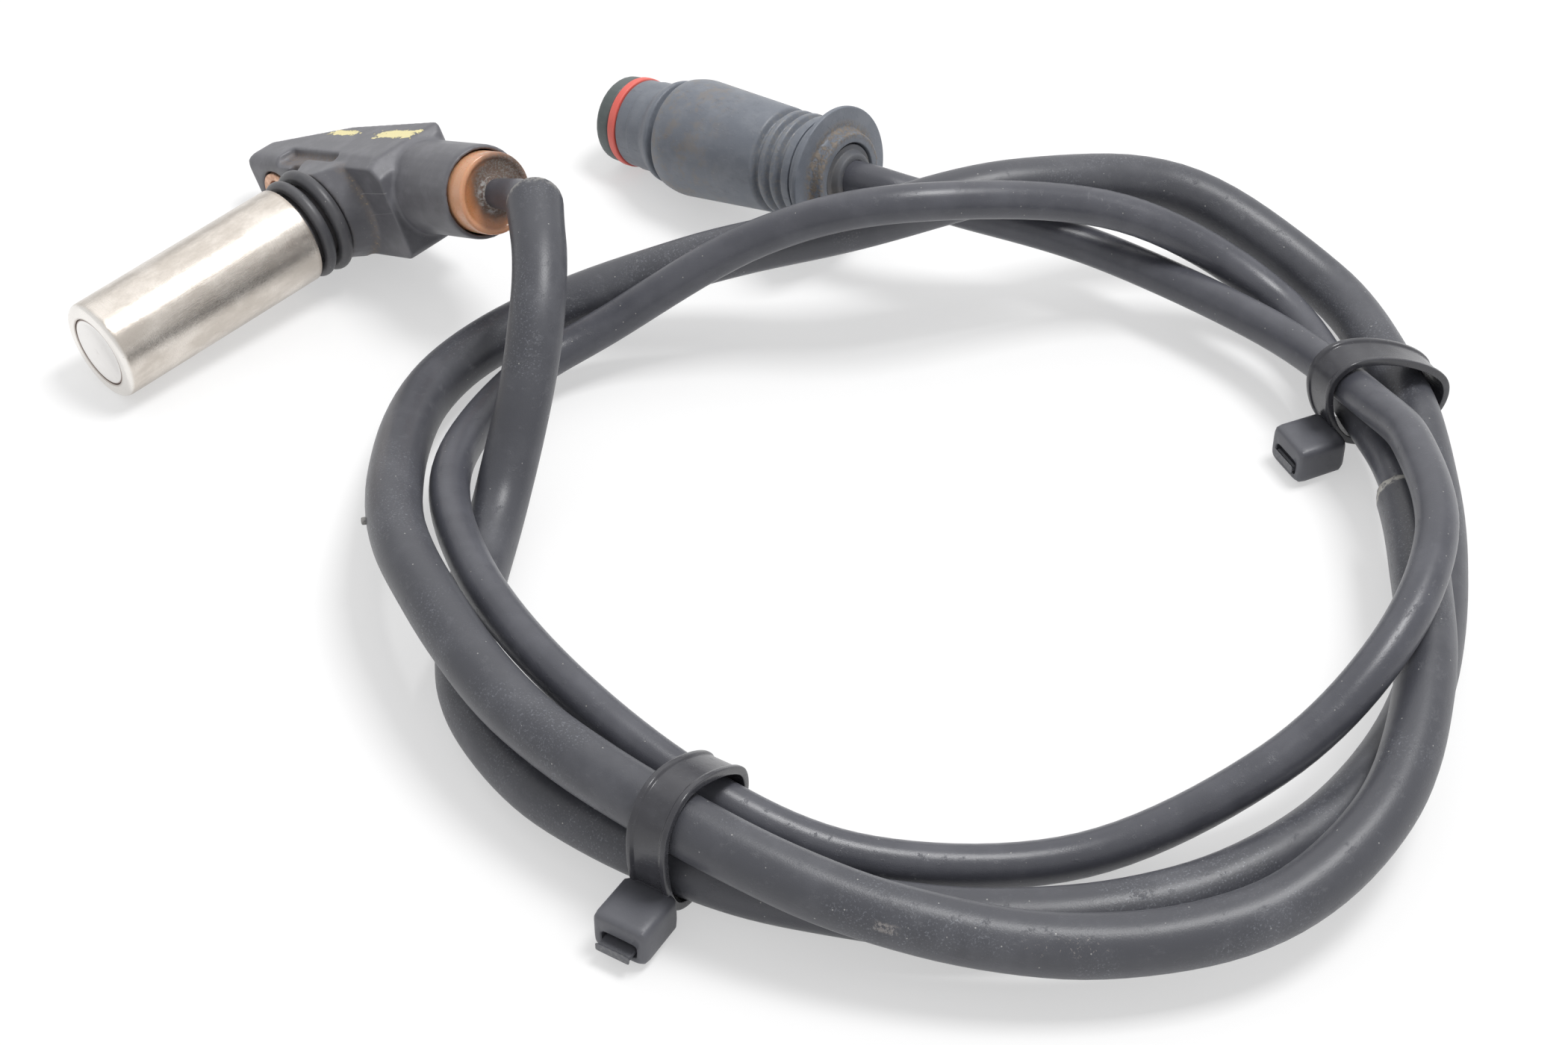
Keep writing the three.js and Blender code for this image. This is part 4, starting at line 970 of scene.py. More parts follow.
@dataclass
class CableRun:
    """The cable from the potting plug to the round plug, and the rubber sleeve over its first part.
    A mark is a place along the route, counted in its points. Start and end are places along the
    socket's axis and the plug's axis."""

    radius: float = 3.3
    sleeve_outer: float = 4.6
    sleeve_inner: float = 3.75
    sleeve_marks: tuple[float, float] = (3.0, 36.75)
    start: tuple[float, float] = (33.0, 41.5)
    socket: tuple[float, float] = SOCKET_AXIS
    end: tuple[float, float] = (57.0, 47.0)
    exit_along: float = 37.5
    mouth_mark: float = 3.7
    mouth_length: float = 8.3
    mouth_slant: float = 1.9
    mouth_flare: float = 0.3
    taper: float = 0.85
    taper_mark: float = 2.2
    rim_drops: tuple[float, float, float] = (0.6, 0.25, 0.08)
    rim_step: float = 0.008
    wave: float = 0.025
    burr_mark: float = 27.15
    burr_half: tuple[float, float] = (0.8, 0.5)
    burr_depths: tuple[float, ...] = (4.2, 5.05, 5.2, 5.25)
    burr_shares: tuple[float, ...] = (1.0, 0.95, 0.75, 0.2)
    rings: int = 10
    sides: int = 28

    def route(self) -> np.ndarray:
        """Joins the route's points: out of the socket, around the bundle, into the plug.

        Returns:
            The points in mm, (n, 3).
        """
        x, z = self.socket
        first = SENSOR.place(np.array([[x, along, z] for along in self.start]))
        last = PLUG.place(np.array([[along, 0.0, 0.0] for along in self.end]))
        return np.concatenate([first, np.array(ROUTE, float), last])

    def curve(self, marks: np.ndarray) -> tuple[np.ndarray, np.ndarray]:
        """Gives a Catmull-Rom curve through the route: a cubic between neighbours, whose slope at
        each point is half of the step from the point before to the point after.

        Args:
            marks: places along the route, counted in points.

        Returns:
            The places in mm and the directions there.
        """
        points = self.route()
        whole = np.concatenate([[2 * points[0] - points[1]], points, [2 * points[-1] - points[-2]]])
        first = np.minimum(marks.astype(int), len(points) - 2)
        t = (marks - first)[:, None]
        p0, p1, p2, p3 = (whole[first + step] for step in range(4))
        slope0, slope1 = (p2 - p0) / 2, (p3 - p1) / 2
        square = 3 * (p2 - p1) - 2 * slope0 - slope1
        cube = 2 * (p1 - p2) + slope0 + slope1
        direction = slope0 + 2 * square * t + 3 * cube * t ** 2
        direction /= np.linalg.norm(direction, axis=1, keepdims=True)
        return p1 + slope0 * t + square * t ** 2 + cube * t ** 3, direction

    def marks(self, first: float, last: float) -> np.ndarray:
        """Gives evenly spread marks with the wanted number of rings for each interval."""
        return np.linspace(first, last, round((last - first) * self.rings) + 1)

    def cable(self) -> tuple[bpy.types.Object, np.ndarray]:
        """Builds the cable, thinner towards the potting plug: radius - taper * (1 - smooth step).

        Returns:
            The object, and its ring centres in metres.
        """
        marks = self.marks(0, len(ROUTE) + 3)
        places, tangents = self.curve(marks)
        share = np.clip(marks / self.taper_mark, 0, 1)
        radii = self.radius - self.taper * (1 - share ** 2 * (3 - 2 * share))
        grid = tube(places, tangents, radii, self.sides)
        piece = build("cable", [Patch(grid, cap_start=True, cap_end=True)])
        return piece, places * MM

    def stiff_mouth(self, marks: np.ndarray, radii: np.ndarray) -> tuple[np.ndarray, np.ndarray]:
        """Carries the sleeve's rings along the curve, and straight back from one mark to its mouth:
        there, place = anchor - direction * (distance + slant * sine), and the radius flares.

        Args:
            marks: places of the rings along the route.
            radii: their radii in mm, (n, sides).

        Returns:
            The grid of points, and the length between rings in mm.
        """
        places, tangents = self.curve(marks)
        anchor, direction = self.curve(np.array([self.mouth_mark]))
        stretch = self.mouth_mark - self.sleeve_marks[0]
        share = np.clip((self.mouth_mark - marks) / stretch, 0, 1)[:, None]
        straight = share > 0
        places = np.where(straight, anchor - direction * share * self.mouth_length, places)
        tangents = np.where(straight, direction, tangents)
        grid = tube(places, tangents, radii + self.mouth_flare * share ** 2, self.sides)
        angle = np.linspace(0, 2 * math.pi, self.sides, endpoint=False)[None, :, None]
        grid -= direction * (self.mouth_slant * share ** 2)[..., None] * np.sin(angle)
        return grid, np.linalg.norm(np.diff(places, axis=0), axis=1)

    def burr(self) -> Patch:
        """Makes the small burr on the sleeve's outer side: an oval stud, whose radius is 1 over the
        root of the sum of (cosine / half length) squared and (sine / half height) squared.

        Returns:
            The stud's surface.
        """
        place, tangent = self.curve(np.array([self.burr_mark]))
        side = np.cross(tangent, [0.0, 0.0, 1.0])
        side /= np.linalg.norm(side)
        depths, shares = np.array([self.burr_depths, self.burr_shares])
        angle = np.linspace(0, 2 * math.pi, 16, endpoint=False)
        oval = 1 / np.hypot(np.cos(angle) / self.burr_half[0], np.sin(angle) / self.burr_half[1])
        directions = np.repeat(side, len(depths), 0)
        grid = tube(place + side * depths[:, None], directions, shares[:, None] * oval, len(angle))
        return Patch(grid, cap_start=True, cap_end=True)

    def sleeve(self) -> tuple[bpy.types.Object, float]:
        """Builds the sleeve: an outer wall with slow waves, rounded at both rims and ragged at the
        far one, and an inner wall. The waves and the rags are sums of sines of the length and the
        angle, and the rags move the far rim's rings along the curve.

        Returns:
            The object, and the length of its outer wall in mm.
        """
        first, last = self.sleeve_marks
        middle = self.marks(first + 5 * self.rim_step, last - 5 * self.rim_step)
        outer = np.concatenate([[first, first, first + self.rim_step], middle,
                                [last - self.rim_step, last, last]])
        _, steps = self.stiff_mouth(outer, np.full((len(outer), self.sides), self.sleeve_outer))
        along = np.concatenate([[0], np.cumsum(steps)])[:, None]
        angle = np.linspace(0, 2 * math.pi, self.sides, endpoint=False)[None, :]
        wave = np.sin(along / 7.3 + angle) + np.sin(along / 3.1 - 2 * angle)
        wave += np.sin(along / 17 + 3 * angle)
        radii = self.sleeve_outer - 2 * self.wave + self.wave * wave
        drops = np.array(self.rim_drops)[:, None]
        radii[:3] -= drops
        radii[-3:] -= drops[::-1]
        wall, _ = self.stiff_mouth(outer, radii)
        ragged = 0.35 * np.sin(3 * angle) + 0.2 * np.sin(7 * angle + 1) + 0.12 * np.sin(13 * angle)
        wall[-3:] += self.curve(outer[-3:])[1][:, None] * ragged[..., None]
        back = self.marks(first, last)[::-1]
        inner, _ = self.stiff_mouth(back, np.full((len(back), self.sides), self.sleeve_inner))
        walls = Patch(np.concatenate([wall, inner]), wrap_rows=True)
        piece = build("rubber_sleeve_cover", [walls, self.burr()])
        return piece, float(steps.sum())

    def exit(self) -> tuple[float, float, float]:
        """Gives the point in metres where the cable leaves the potting plug."""
        x, z = self.socket
        return tuple(SENSOR.place(np.array([x, self.exit_along, z])) * MM)


# Barrel, housing and potting


def moved(mesh: bpy.types.Mesh, change: Callable[[np.ndarray], np.ndarray]) -> None:
    """Puts a mesh's vertices where a function of their places says.

    Args:
        mesh: the mesh, changed in place.
        change: the function, from places to places, both in mm and (n, 3).
    """
    places = np.empty(len(mesh.vertices) * 3, np.float32)
    mesh.vertices.foreach_get("co", places)
    places = change(places.reshape(-1, 3) / MM) * MM
    mesh.vertices.foreach_set("co", places.astype(np.float32).ravel())
    mesh.update()


def softened(name: str, node: str, pose: Pose, voxel: float, rounds: int) -> bpy.types.Object:
    """Gives a moulded look to a merged copy of a CAD node: remeshed in its own frame, then smoothed.

    Args:
        name: name of the new object.
        node: the CAD node.
        pose: the frame in which the cells lie.
        voxel: size of a cell in mm.
        rounds: number of smoothing rounds; each moves a vertex halfway to its neighbours' mean.

    Returns:
        The new object.
    """
    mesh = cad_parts[node].data.copy()
    work = bmesh.new()
    work.from_mesh(mesh)
    bmesh.ops.remove_doubles(work, verts=work.verts, dist=WELD)
    work.to_mesh(mesh)
    work.free()
    moved(mesh, pose.local)
    draft = bpy.data.objects.new("draft", mesh)
    bpy.context.scene.collection.objects.link(draft)
    remesh = draft.modifiers.new("remesh", "REMESH")
    remesh.mode = "VOXEL"
    remesh.voxel_size = voxel * MM
    smooth = draft.modifiers.new("smooth", "SMOOTH")
    smooth.factor = 0.5
    smooth.iterations = rounds
    result = bpy.data.meshes.new_from_object(draft.evaluated_get(bpy.context.evaluated_depsgraph_get()))
    bpy.data.objects.remove(draft)
    moved(result, pose.place)
    result.name = name
    result.shade_smooth()
    piece = bpy.data.objects.new(name, result)
    bpy.context.scene.collection.objects.link(piece)
    return piece


@dataclass
class Barrel:
    """The steel can with its pole cap, and the two O-rings behind it. A ring's numbers are its place
    along the barrel, its outer radius and its thickness."""

    radius: float = BARREL_RADIUS
    length: float = BARREL_LENGTH
    wall: float = 0.6
    rounding: float = 2.0
    opening: float = 6.4
    cap_radius: float = CAP_RADIUS
    cap_flange: float = 6.5
    cap_dip: float = 0.06
    cap_front: float = 41.35
    cap_back: float = 38.9
    front_ring: tuple[float, float, float] = (-2.3, 9.4, 2.2)
    rear_ring: tuple[float, float, float] = (-5.6, 9.8, 2.6)

    def can(self) -> Patch:
        """Turns the can's section: outer wall, rounded tip, opening, inner wall.

        Returns:
            The can's surface.
        """
        inner = self.radius - self.wall
        return turned(SENSOR, rounded([
            (0.0, inner), (0.0, self.radius, 0.2), (self.length, self.radius, self.rounding),
            (self.length, self.opening, 0.2), (self.length - self.wall, self.opening, 0.1),
            (self.length - self.wall, inner, 1.2)], closed=True, count=8), 128, closed=True)

    def cap(self) -> Patch:
        """Turns the pole cap: a flange behind the can's edge and a dished disc in its opening.

        Returns:
            The cap's surface.
        """
        back = self.length - self.wall - 0.3
        dip = self.cap_front - self.cap_dip
        return turned(SENSOR, rounded([
            (self.cap_back, 0.0), (self.cap_back, self.cap_flange, 0.2), (back, self.cap_flange, 0.2),
            (back, self.cap_radius), (self.cap_front, self.cap_radius, 0.2),
            (self.cap_front, self.cap_radius - 0.9), (dip, self.cap_radius - 1.0), (dip, 0.0)]))

    def ring(self, centre: float, outer: float, thick: float) -> Patch:
        """Turns an O-ring: a circle of half its thickness, turned around the barrel's axis.

        Args:
            centre: its place along the barrel in mm.
            outer: its outer radius.
            thick: its thickness.

        Returns:
            The ring's surface.
        """
        angle = np.linspace(0, 2 * math.pi, 24, endpoint=False)
        half = thick / 2
        section = np.stack([centre + half * np.cos(angle), outer - half + half * np.sin(angle)], -1)
        return turned(SENSOR, section, 112, closed=True)

    def make(self) -> None:
        """Builds and dresses the barrel's pieces."""
        dress(build("steel_can", [self.can()]), SteelFinish().material(), ["sensor_can"])
        dress(build("tip_cap", [self.cap()]), CapFinish().material(), ["pole_cap"])
        finish = RubberFinish("ring_rubber", srgb(72, 72, 76), srgb(104, 103, 105), SENSOR,
                              roughness=0.34).material()
        dress(build("o_ring_front", [self.ring(*self.front_ring)]), finish,
              ["front_o_ring"])
        dress(build("o_ring_rear", [self.ring(*self.rear_ring)]), finish, ["rear_o_ring"])


@dataclass
class HousingBody:
    """The moulded housing with the ear's bushing and the potting plug in its cable socket."""

    voxel: float = 0.36
    rounds: int = 7
    bushing_centre: tuple[float, float] = (-18.0, 0.8)
    bushing_ends: tuple[float, float] = (-16.3, -9.7)
    bushing_radii: tuple[float, float] = (3.5, 5.0)
    socket: tuple[float, float] = SOCKET_AXIS

    def bushing(self) -> Patch:
        """Turns the bushing: a short tube with rounded edges.

        Returns:
            The bushing's surface.
        """
        (back, front), (bore, outer) = self.bushing_ends, self.bushing_radii
        corners = [(back, bore, 0.3), (back, outer, 0.3), (front, outer, 0.35), (front, bore, 0.5)]
        return turned(SENSOR, rounded(corners, closed=True), centre=self.bushing_centre, closed=True)

    def potting(self) -> Patch:
        """Turns the potting plug: a proud rim bead, a dished face and a low meniscus at the cable.

        Returns:
            The potting plug's surface.
        """
        line = rounded([
            (20.3, 0.0), (20.3, 7.1, 0.2), (37.35, 7.1, 0.8), (37.5, 6.3, 0.5), (37.05, 5.7, 0.4),
            (36.9, 4.2, 0.6), (37.2, 3.0, 0.5), (37.9, 2.62, 0.1), (37.9, 2.3), (32.7, 2.3),
            (32.7, 0.0)])
        return turned(SENSOR, line, axis=Axis.SOCKET, centre=self.socket)

    def make(self) -> None:
        """Builds and dresses the housing's pieces."""
        housing = softened("housing_moulding", "housing", SENSOR, self.voxel, self.rounds)
        bushing, potting = build("ear_bushing", [self.bushing()]), build("potting", [self.potting()])
        dress(housing, MouldedFinish().material(), ["housing"])
        dress(bushing, BushingFinish().material(), ["mounting_bushing"])
        dress(potting, ResinFinish().material(), ["potting_plug"])


# Plug


@dataclass
class Plug:
    """The round plug: nose, red seal ring, ribbed shell, rear flange with its collar, and grommet.
    The seal's numbers are its half width, inner radius and outer radius; the rim's start is a place
    along the plug and a radius."""

    seal: tuple[float, float, float] = (0.8, 6.7, 8.4)
    seal_shift: float = 1.5
    rim_start: tuple[float, float] = (-2.2, 7.2)
    shell_bore: float = 5.0
    stem: float = 6.7
    shell_front: float = 2.6
    shell_end: float = 46.0
    stem_end: float = 14.1
    nose_voxel: float = 0.25
    nose_rounds: int = 4

    def seal_ring(self) -> Patch:
        """Turns the seal ring: a square section with a rounded outer side.

        Returns:
            The ring's surface.
        """
        half, inner, outer = self.seal
        front, back = self.seal_shift - half, self.seal_shift + half
        corners = [(front, inner), (front, outer, 0.35), (back, outer, 0.35), (back, inner)]
        return turned(PLUG, rounded(corners, closed=True), closed=True)

    def shell(self) -> Patch:
        """Turns the shell: front step, rib, deep groove, conical grip, three grooves, and its bore.

        Returns:
            The shell's surface.
        """
        return turned(PLUG, rounded([
            (self.shell_front, self.stem), (self.shell_front, 8.15, 0.2), (5.4, 8.15, 0.1),
            (5.6, 8.35, 0.15), (8.9, 8.35, 0.5), (10.6, 9.5, 0.6), (11.7, 9.7, 0.5), (12.1, 8.4, 0.3),
            (13.4, 8.4, 0.3), (13.6, 10.3, 0.5), (16.4, 10.9, 1.2), (37.2, 9.6, 0.5),
            (37.7, 8.25, 0.35), (38.5, 8.25, 0.35), (39.0, 9.5, 0.4), (40.0, 9.5, 0.4),
            (40.5, 8.25, 0.35), (41.2, 8.25, 0.35), (41.7, 9.5, 0.4), (42.6, 9.5, 0.4),
            (43.1, 8.25, 0.35), (43.8, 8.25, 0.35), (44.3, 9.5, 0.4), (self.shell_end, 9.5, 0.2),
            (self.shell_end, self.shell_bore), (self.stem_end, self.shell_bore),
            (self.stem_end, self.stem)], closed=True), 128, closed=True)

    def flange(self) -> Patch:
        """Turns the rear flange: a cone that opens to a thin plate, and a collar behind it.

        Returns:
            The flange's surface.
        """
        return turned(PLUG, rounded([
            (46.3, 6.2), (46.3, 9.5, 0.2), (47.9, 9.5, 0.6), (49.3, 12.3, 0.2), (50.2, 12.3, 0.3),
            (50.2, 8.5, 0.5), (50.8, 8.2, 0.3), (52.5, 8.0, 0.5), (52.5, 6.3, 0.3),
            (52.1, 6.2)], closed=True), 128, closed=True)

    def grommet(self) -> Patch:
        """Turns the grommet: a tube whose end is dished and meets the cable in a soft lip.

        Returns:
            The grommet's surface.
        """
        return turned(PLUG, rounded([
            (46.3, 3.6), (46.3, 5.95), (52.2, 5.95, 0.25), (52.2, 4.9, 0.25), (53.5, 4.5, 0.3),
            (53.7, 4.0, 0.2), (53.7, 3.38, 0.1), (51.5, 3.6)], closed=True), 64, closed=True)

    def lengthened(self, places: np.ndarray) -> np.ndarray:
        """Draws the nose's rim back to the seal ring. A point further out than the rim's start moves
        along the plug by the ring's shift, times how far it is past the rim's start, from 0 to 1.

        Args:
            places: places of the nose in mm.

        Returns:
            The new places.
        """
        start, inner = self.rim_start
        local = PLUG.local(places)
        outside = np.hypot(local[:, 1], local[:, 2]) > inner
        local[:, 0] += self.seal_shift * np.clip(local[:, 0] - start, 0, 1) * outside
        return PLUG.place(local)

    def make(self) -> list[bpy.types.Object]:
        """Builds and dresses the plug's pieces.

        Returns:
            The pieces.
        """
        plastic = PlugFinish().material()
        nose_plastic = RubberFinish("nose_plastic", srgb(84, 92, 92), srgb(112, 118, 116), PLUG,
                                    roughness=0.42, scuffs=0.3).material()
        seal_rubber = RubberFinish("seal_red", srgb(226, 102, 92), srgb(220, 122, 110), PLUG,
                                   roughness=0.42, speck_size=0.05).material()
        grommet_rubber = RubberFinish("grommet_rubber", srgb(88, 90, 95), srgb(122, 114, 104), PLUG,
                                      roughness=0.5, scuffs=0.5).material()
        nose = softened("plug_nose", "nose_insulator", PLUG, self.nose_voxel, self.nose_rounds)
        moved(nose.data, self.lengthened)
        seal, body = build("plug_seal", [self.seal_ring()]), build("plug_body", [self.shell()])
        flange, grommet = build("plug_flange", [self.flange()]), build("plug_grommet", [self.grommet()])
        dress(nose, nose_plastic, ["nose_insulator"])
        dress(seal, seal_rubber, ["red_seal_ring"])
        dress(body, plastic, ["plug_shell"])
        dress(flange, plastic, ["rear_flange"])
        dress(grommet, grommet_rubber, ["cable_grommet"])
        return [nose, seal, body, flange, grommet]


# Cable ties


@dataclass
class CableTie:
    """A cable tie around the strands: strap, head with its slot, and the strap's cut tail in it.
    Place is a point inside the belt, turn the frame's angle about Z in degrees, shift the head's
    place along the strands, stiffness the smoothing angle in degrees, and tail the length past the
    head. The channel has its depth, and the distances of its edge and foot from the strap's side.
    The belt is found with this number of rings for each of the route's intervals, of sides for each
    ring, and of directions (count), and it has this number of steps."""

    name: str
    node: str
    place: tuple[float, float]
    turn: float
    shift: float
    stiffness: float
    tail: float
    width: float = 6.4
    thickness: float = 1.3
    clearance: float = 0.32
    channel: tuple[float, float, float] = (0.35, 0.8, 1.1)
    reach: float = 21.0
    head_length: float = 9.0
    head_half: tuple[float, float] = (3.5, 4.5)
    head_lift: float = 0.5
    slot_drop: float = 0.9
    slot_half: tuple[float, float] = (1.35, 2.9)
    tail_half: tuple[float, float] = (0.55, 2.6)
    tail_ridge: float = 0.14
    floor_gap: float = 0.03
    head_gap: float = 0.1
    rings: int = 40
    sides: int = 72
    count: int = 360
    steps: int = 220

    def pose(self) -> Pose:
        """Gives the tie's frame: x outwards, y upwards, z along the strands."""
        return Pose((*self.place, 0.0), (90.0, 0.0, self.turn))

    def outline(self, run: CableRun) -> np.ndarray:
        """Lays a stiff belt around the strands. For each direction, the support is the furthest reach
        of the strands' sections at the strap's two sides and middle; it is smoothed by a bell curve
        over the directions and raised until nothing is cut. A point of the belt is normal * support +
        tangent * the support's slope, and it stays above the floor by the strap's thickness.

        Args:
            run: the cable run that the tie holds.

        Returns:
            Points of the belt's inner side in the tie's plane, (n, 2).
        """
        marks = np.linspace(0, len(ROUTE) + 3, (len(ROUTE) + 3) * self.rings + 1)
        places = self.pose().local(run.curve(marks)[0])
        angle = np.linspace(0, 2 * math.pi, self.sides, endpoint=False)
        circle = np.stack([np.cos(angle), np.sin(angle)], -1)
        rings = []
        for offset in (-self.width / 2, 0.0, self.width / 2):
            beside = (places[:-1, 2] - offset) * (places[1:, 2] - offset) <= 0
            hit = np.nonzero(beside & (np.hypot(places[:-1, 0], places[:-1, 1]) < self.reach))[0]
            step = places[hit + 1] - places[hit]
            slant = np.abs(step[:, 2]) / np.linalg.norm(step, axis=1)
            covered = (marks[hit] > run.sleeve_marks[0]) & (marks[hit] < run.sleeve_marks[1])
            radius = np.where(covered, run.sleeve_outer, run.radius) / slant + self.clearance
            rings.append((places[hit, None, :2] + circle * radius[:, None, None]).reshape(-1, 2))
        points = np.concatenate(rings)
        count = self.count
        turn = np.linspace(0, 2 * math.pi, count, endpoint=False)
        normal = np.stack([np.cos(turn), np.sin(turn)], -1)
        middle = (points.max(0) + points.min(0)) / 2
        support = ((points - middle) @ normal.T).max(0)
        gap = np.minimum(np.arange(count), count - np.arange(count)) * 360 / count
        weight = np.exp(-(gap / self.stiffness) ** 2 / 2)
        soft = np.fft.irfft(np.fft.rfft(support) * np.fft.rfft(weight / weight.sum()), count)
        soft += (support - soft).max()
        slope = (np.roll(soft, -1) - np.roll(soft, 1)) * count / (4 * math.pi)
        tangent = np.stack([-normal[:, 1], normal[:, 0]], -1)
        belt = middle + normal * soft[:, None] + tangent * slope[:, None]
        belt[:, 1] = np.maximum(belt[:, 1], self.thickness + self.floor_gap)
        loop = np.concatenate([belt, belt[:1]])
        length = np.concatenate([[0], np.cumsum(np.linalg.norm(np.diff(loop, axis=0), axis=1))])
        even = np.linspace(0, length[-1], self.steps, endpoint=False)
        return np.stack([np.interp(even, length, loop[:, 0]), np.interp(even, length, loop[:, 1])], -1)

    def strap(self, outline: np.ndarray) -> Patch:
        """Carries the strap's section, a band with a shallow channel in its outer side, along the
        belt: outline + outward * depth, across its width.

        Args:
            outline: points of the belt's inner side in the tie's plane.

        Returns:
            The strap's surface.
        """
        ahead = np.roll(outline, -2, 0) - np.roll(outline, 2, 0)
        outward = np.stack([ahead[:, 1], -ahead[:, 0]], -1)
        outward /= np.linalg.norm(ahead, axis=1, keepdims=True)
        if ((outline - outline.mean(0)) * outward).sum() < 0:
            outward = -outward
        depth, edge, foot = self.channel
        half, full, low = self.width / 2, self.thickness, self.thickness - depth
        section = rounded([
            (0, -half, 0.2), (0, half, 0.2), (full, half, 0.25), (full, half - edge, 0.2),
            (low, half - foot, 0.15), (low, foot - half, 0.15), (full, edge - half, 0.2),
            (full, -half, 0.25)], closed=True, count=3)
        flat = outline[:, None] + outward[:, None] * section[None, :, :1]
        across = np.broadcast_to(section[None, :, 1:], (*flat.shape[:2], 1))
        return Patch(self.pose().place(np.concatenate([flat, across], -1)), wrap_rows=True)

    def head_start(self, outline: np.ndarray) -> float:
        """Finds where the head begins: just outside the belt at the head's middle and top.

        Args:
            outline: points of the belt's inner side in the tie's plane.

        Returns:
            The head's start, in mm along the tie's x.
        """
        middle, top = self.head_lift + self.head_half[0], self.head_lift + 2 * self.head_half[0]
        heights = np.abs(outline[:, 1:] - np.array([[middle, top]])) < 0.6
        return float(max(outline[heights[:, i], 0].max() for i in range(2))) + self.head_gap

    def head(self, start: float) -> Patch:
        """Lofts the head: a rounded box with a slot in its outer end.

        Args:
            start: where the head begins, in mm along the tie's x.

        Returns:
            The head's surface.
        """
        up, wide = self.head_half
        high, broad = self.slot_half
        middle, end = self.head_lift + up, start + self.head_length
        low = middle - self.slot_drop
        stations = [(x, middle, self.shift, up - less, wide - less) for x, less in (
            (start, 0.9), (start + 0.25, 0.45), (start + 1.0, 0.05), (end - 1.4, 0.0),
            (end - 0.5, 0.12), (end - 0.1, 0.45), (end, 0.8))]
        stations += [(x, low, self.shift, high + more, broad + more) for x, more in (
            (end, 0.25), (end - 0.15, 0.05), (end - 0.5, 0.0), (end - 3.5, -0.1))]
        patch = loft(self.pose(), stations)
        patch.cap_start = patch.cap_end = True
        return patch

    def stub(self, start: float) -> Patch:
        """Lofts the cut tail of the strap: ridges across it, and a flared torn edge.

        Args:
            start: where the head begins, in mm along the tie's x.

        Returns:
            The tail's surface.
        """
        end = start + self.head_length + self.tail
        x = np.linspace(start + self.head_length - 3.4, end - 0.5, 10)
        thick, wide = self.tail_half
        ridge = np.where(np.arange(len(x)) % 2 == 0, 0.0, self.tail_ridge)
        middle = self.head_lift + self.head_half[0] - self.slot_drop - 0.2
        rows = [(a, middle, self.shift, thick - b, wide) for a, b in zip(x, ridge)]
        rows += [(end - 0.25, middle + 0.05, self.shift, thick + 0.1, wide + 0.15),
                 (end, middle + 0.1, self.shift, thick + 0.18, wide + 0.2)]
        patch = loft(self.pose(), rows, power=10, columns=48)
        patch.cap_start = patch.cap_end = True
        return patch

    def make(self, run: CableRun) -> bpy.types.Object:
        """Builds and dresses the tie.

        Args:
            run: the cable run that the tie holds.

        Returns:
            The tie.
        """
        outline = self.outline(run)
        start = self.head_start(outline)
        patches = [self.strap(outline), self.head(start), self.stub(start)]
        piece = build(self.name, patches, sharp=35)
        end = start + self.head_length + self.tail
        top = self.head_lift + 2 * self.head_half[0]
        finish = NylonFinish(self.name + "_nylon", self.pose(), start, top, end)
        dress(piece, finish.material(), [self.node])
        return piece


# Pieces inside, kept from the solids


def dress_inside() -> None:
    """Gives the CAD nodes that stay as they are, inside the barrel and the plug, their finishes."""
    brass = PlainFinish("contact_brass", srgb(214, 182, 112), 1.0, 0.28, 0.8)
    finishes = {
        "pole_pin": PlainFinish("pin_steel", srgb(120, 114, 108), 1.0, 0.4, 0.8),
        "magnet": PlainFinish("magnet_alloy", srgb(92, 92, 96), 0.8, 0.5, 1.6),
        "coil_bobbin": PlainFinish("bobbin_plastic", srgb(206, 200, 186), 0.0, 0.5, 0.6),
        "coil_winding": WindingFinish(),
    }
    made = {node: finish.material() for node, finish in finishes.items()}
    pins = ("lead_pin_1", "lead_pin_2", "contact_1", "contact_2", "contact_3")
    made.update(dict.fromkeys(pins, brass.material()))
    for node, material in made.items():
        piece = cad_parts[node]
        piece.data.materials.clear()
        piece.data.materials.append(material)
        LOG.info("%s: solid kept", node)


# Camera, light and floor


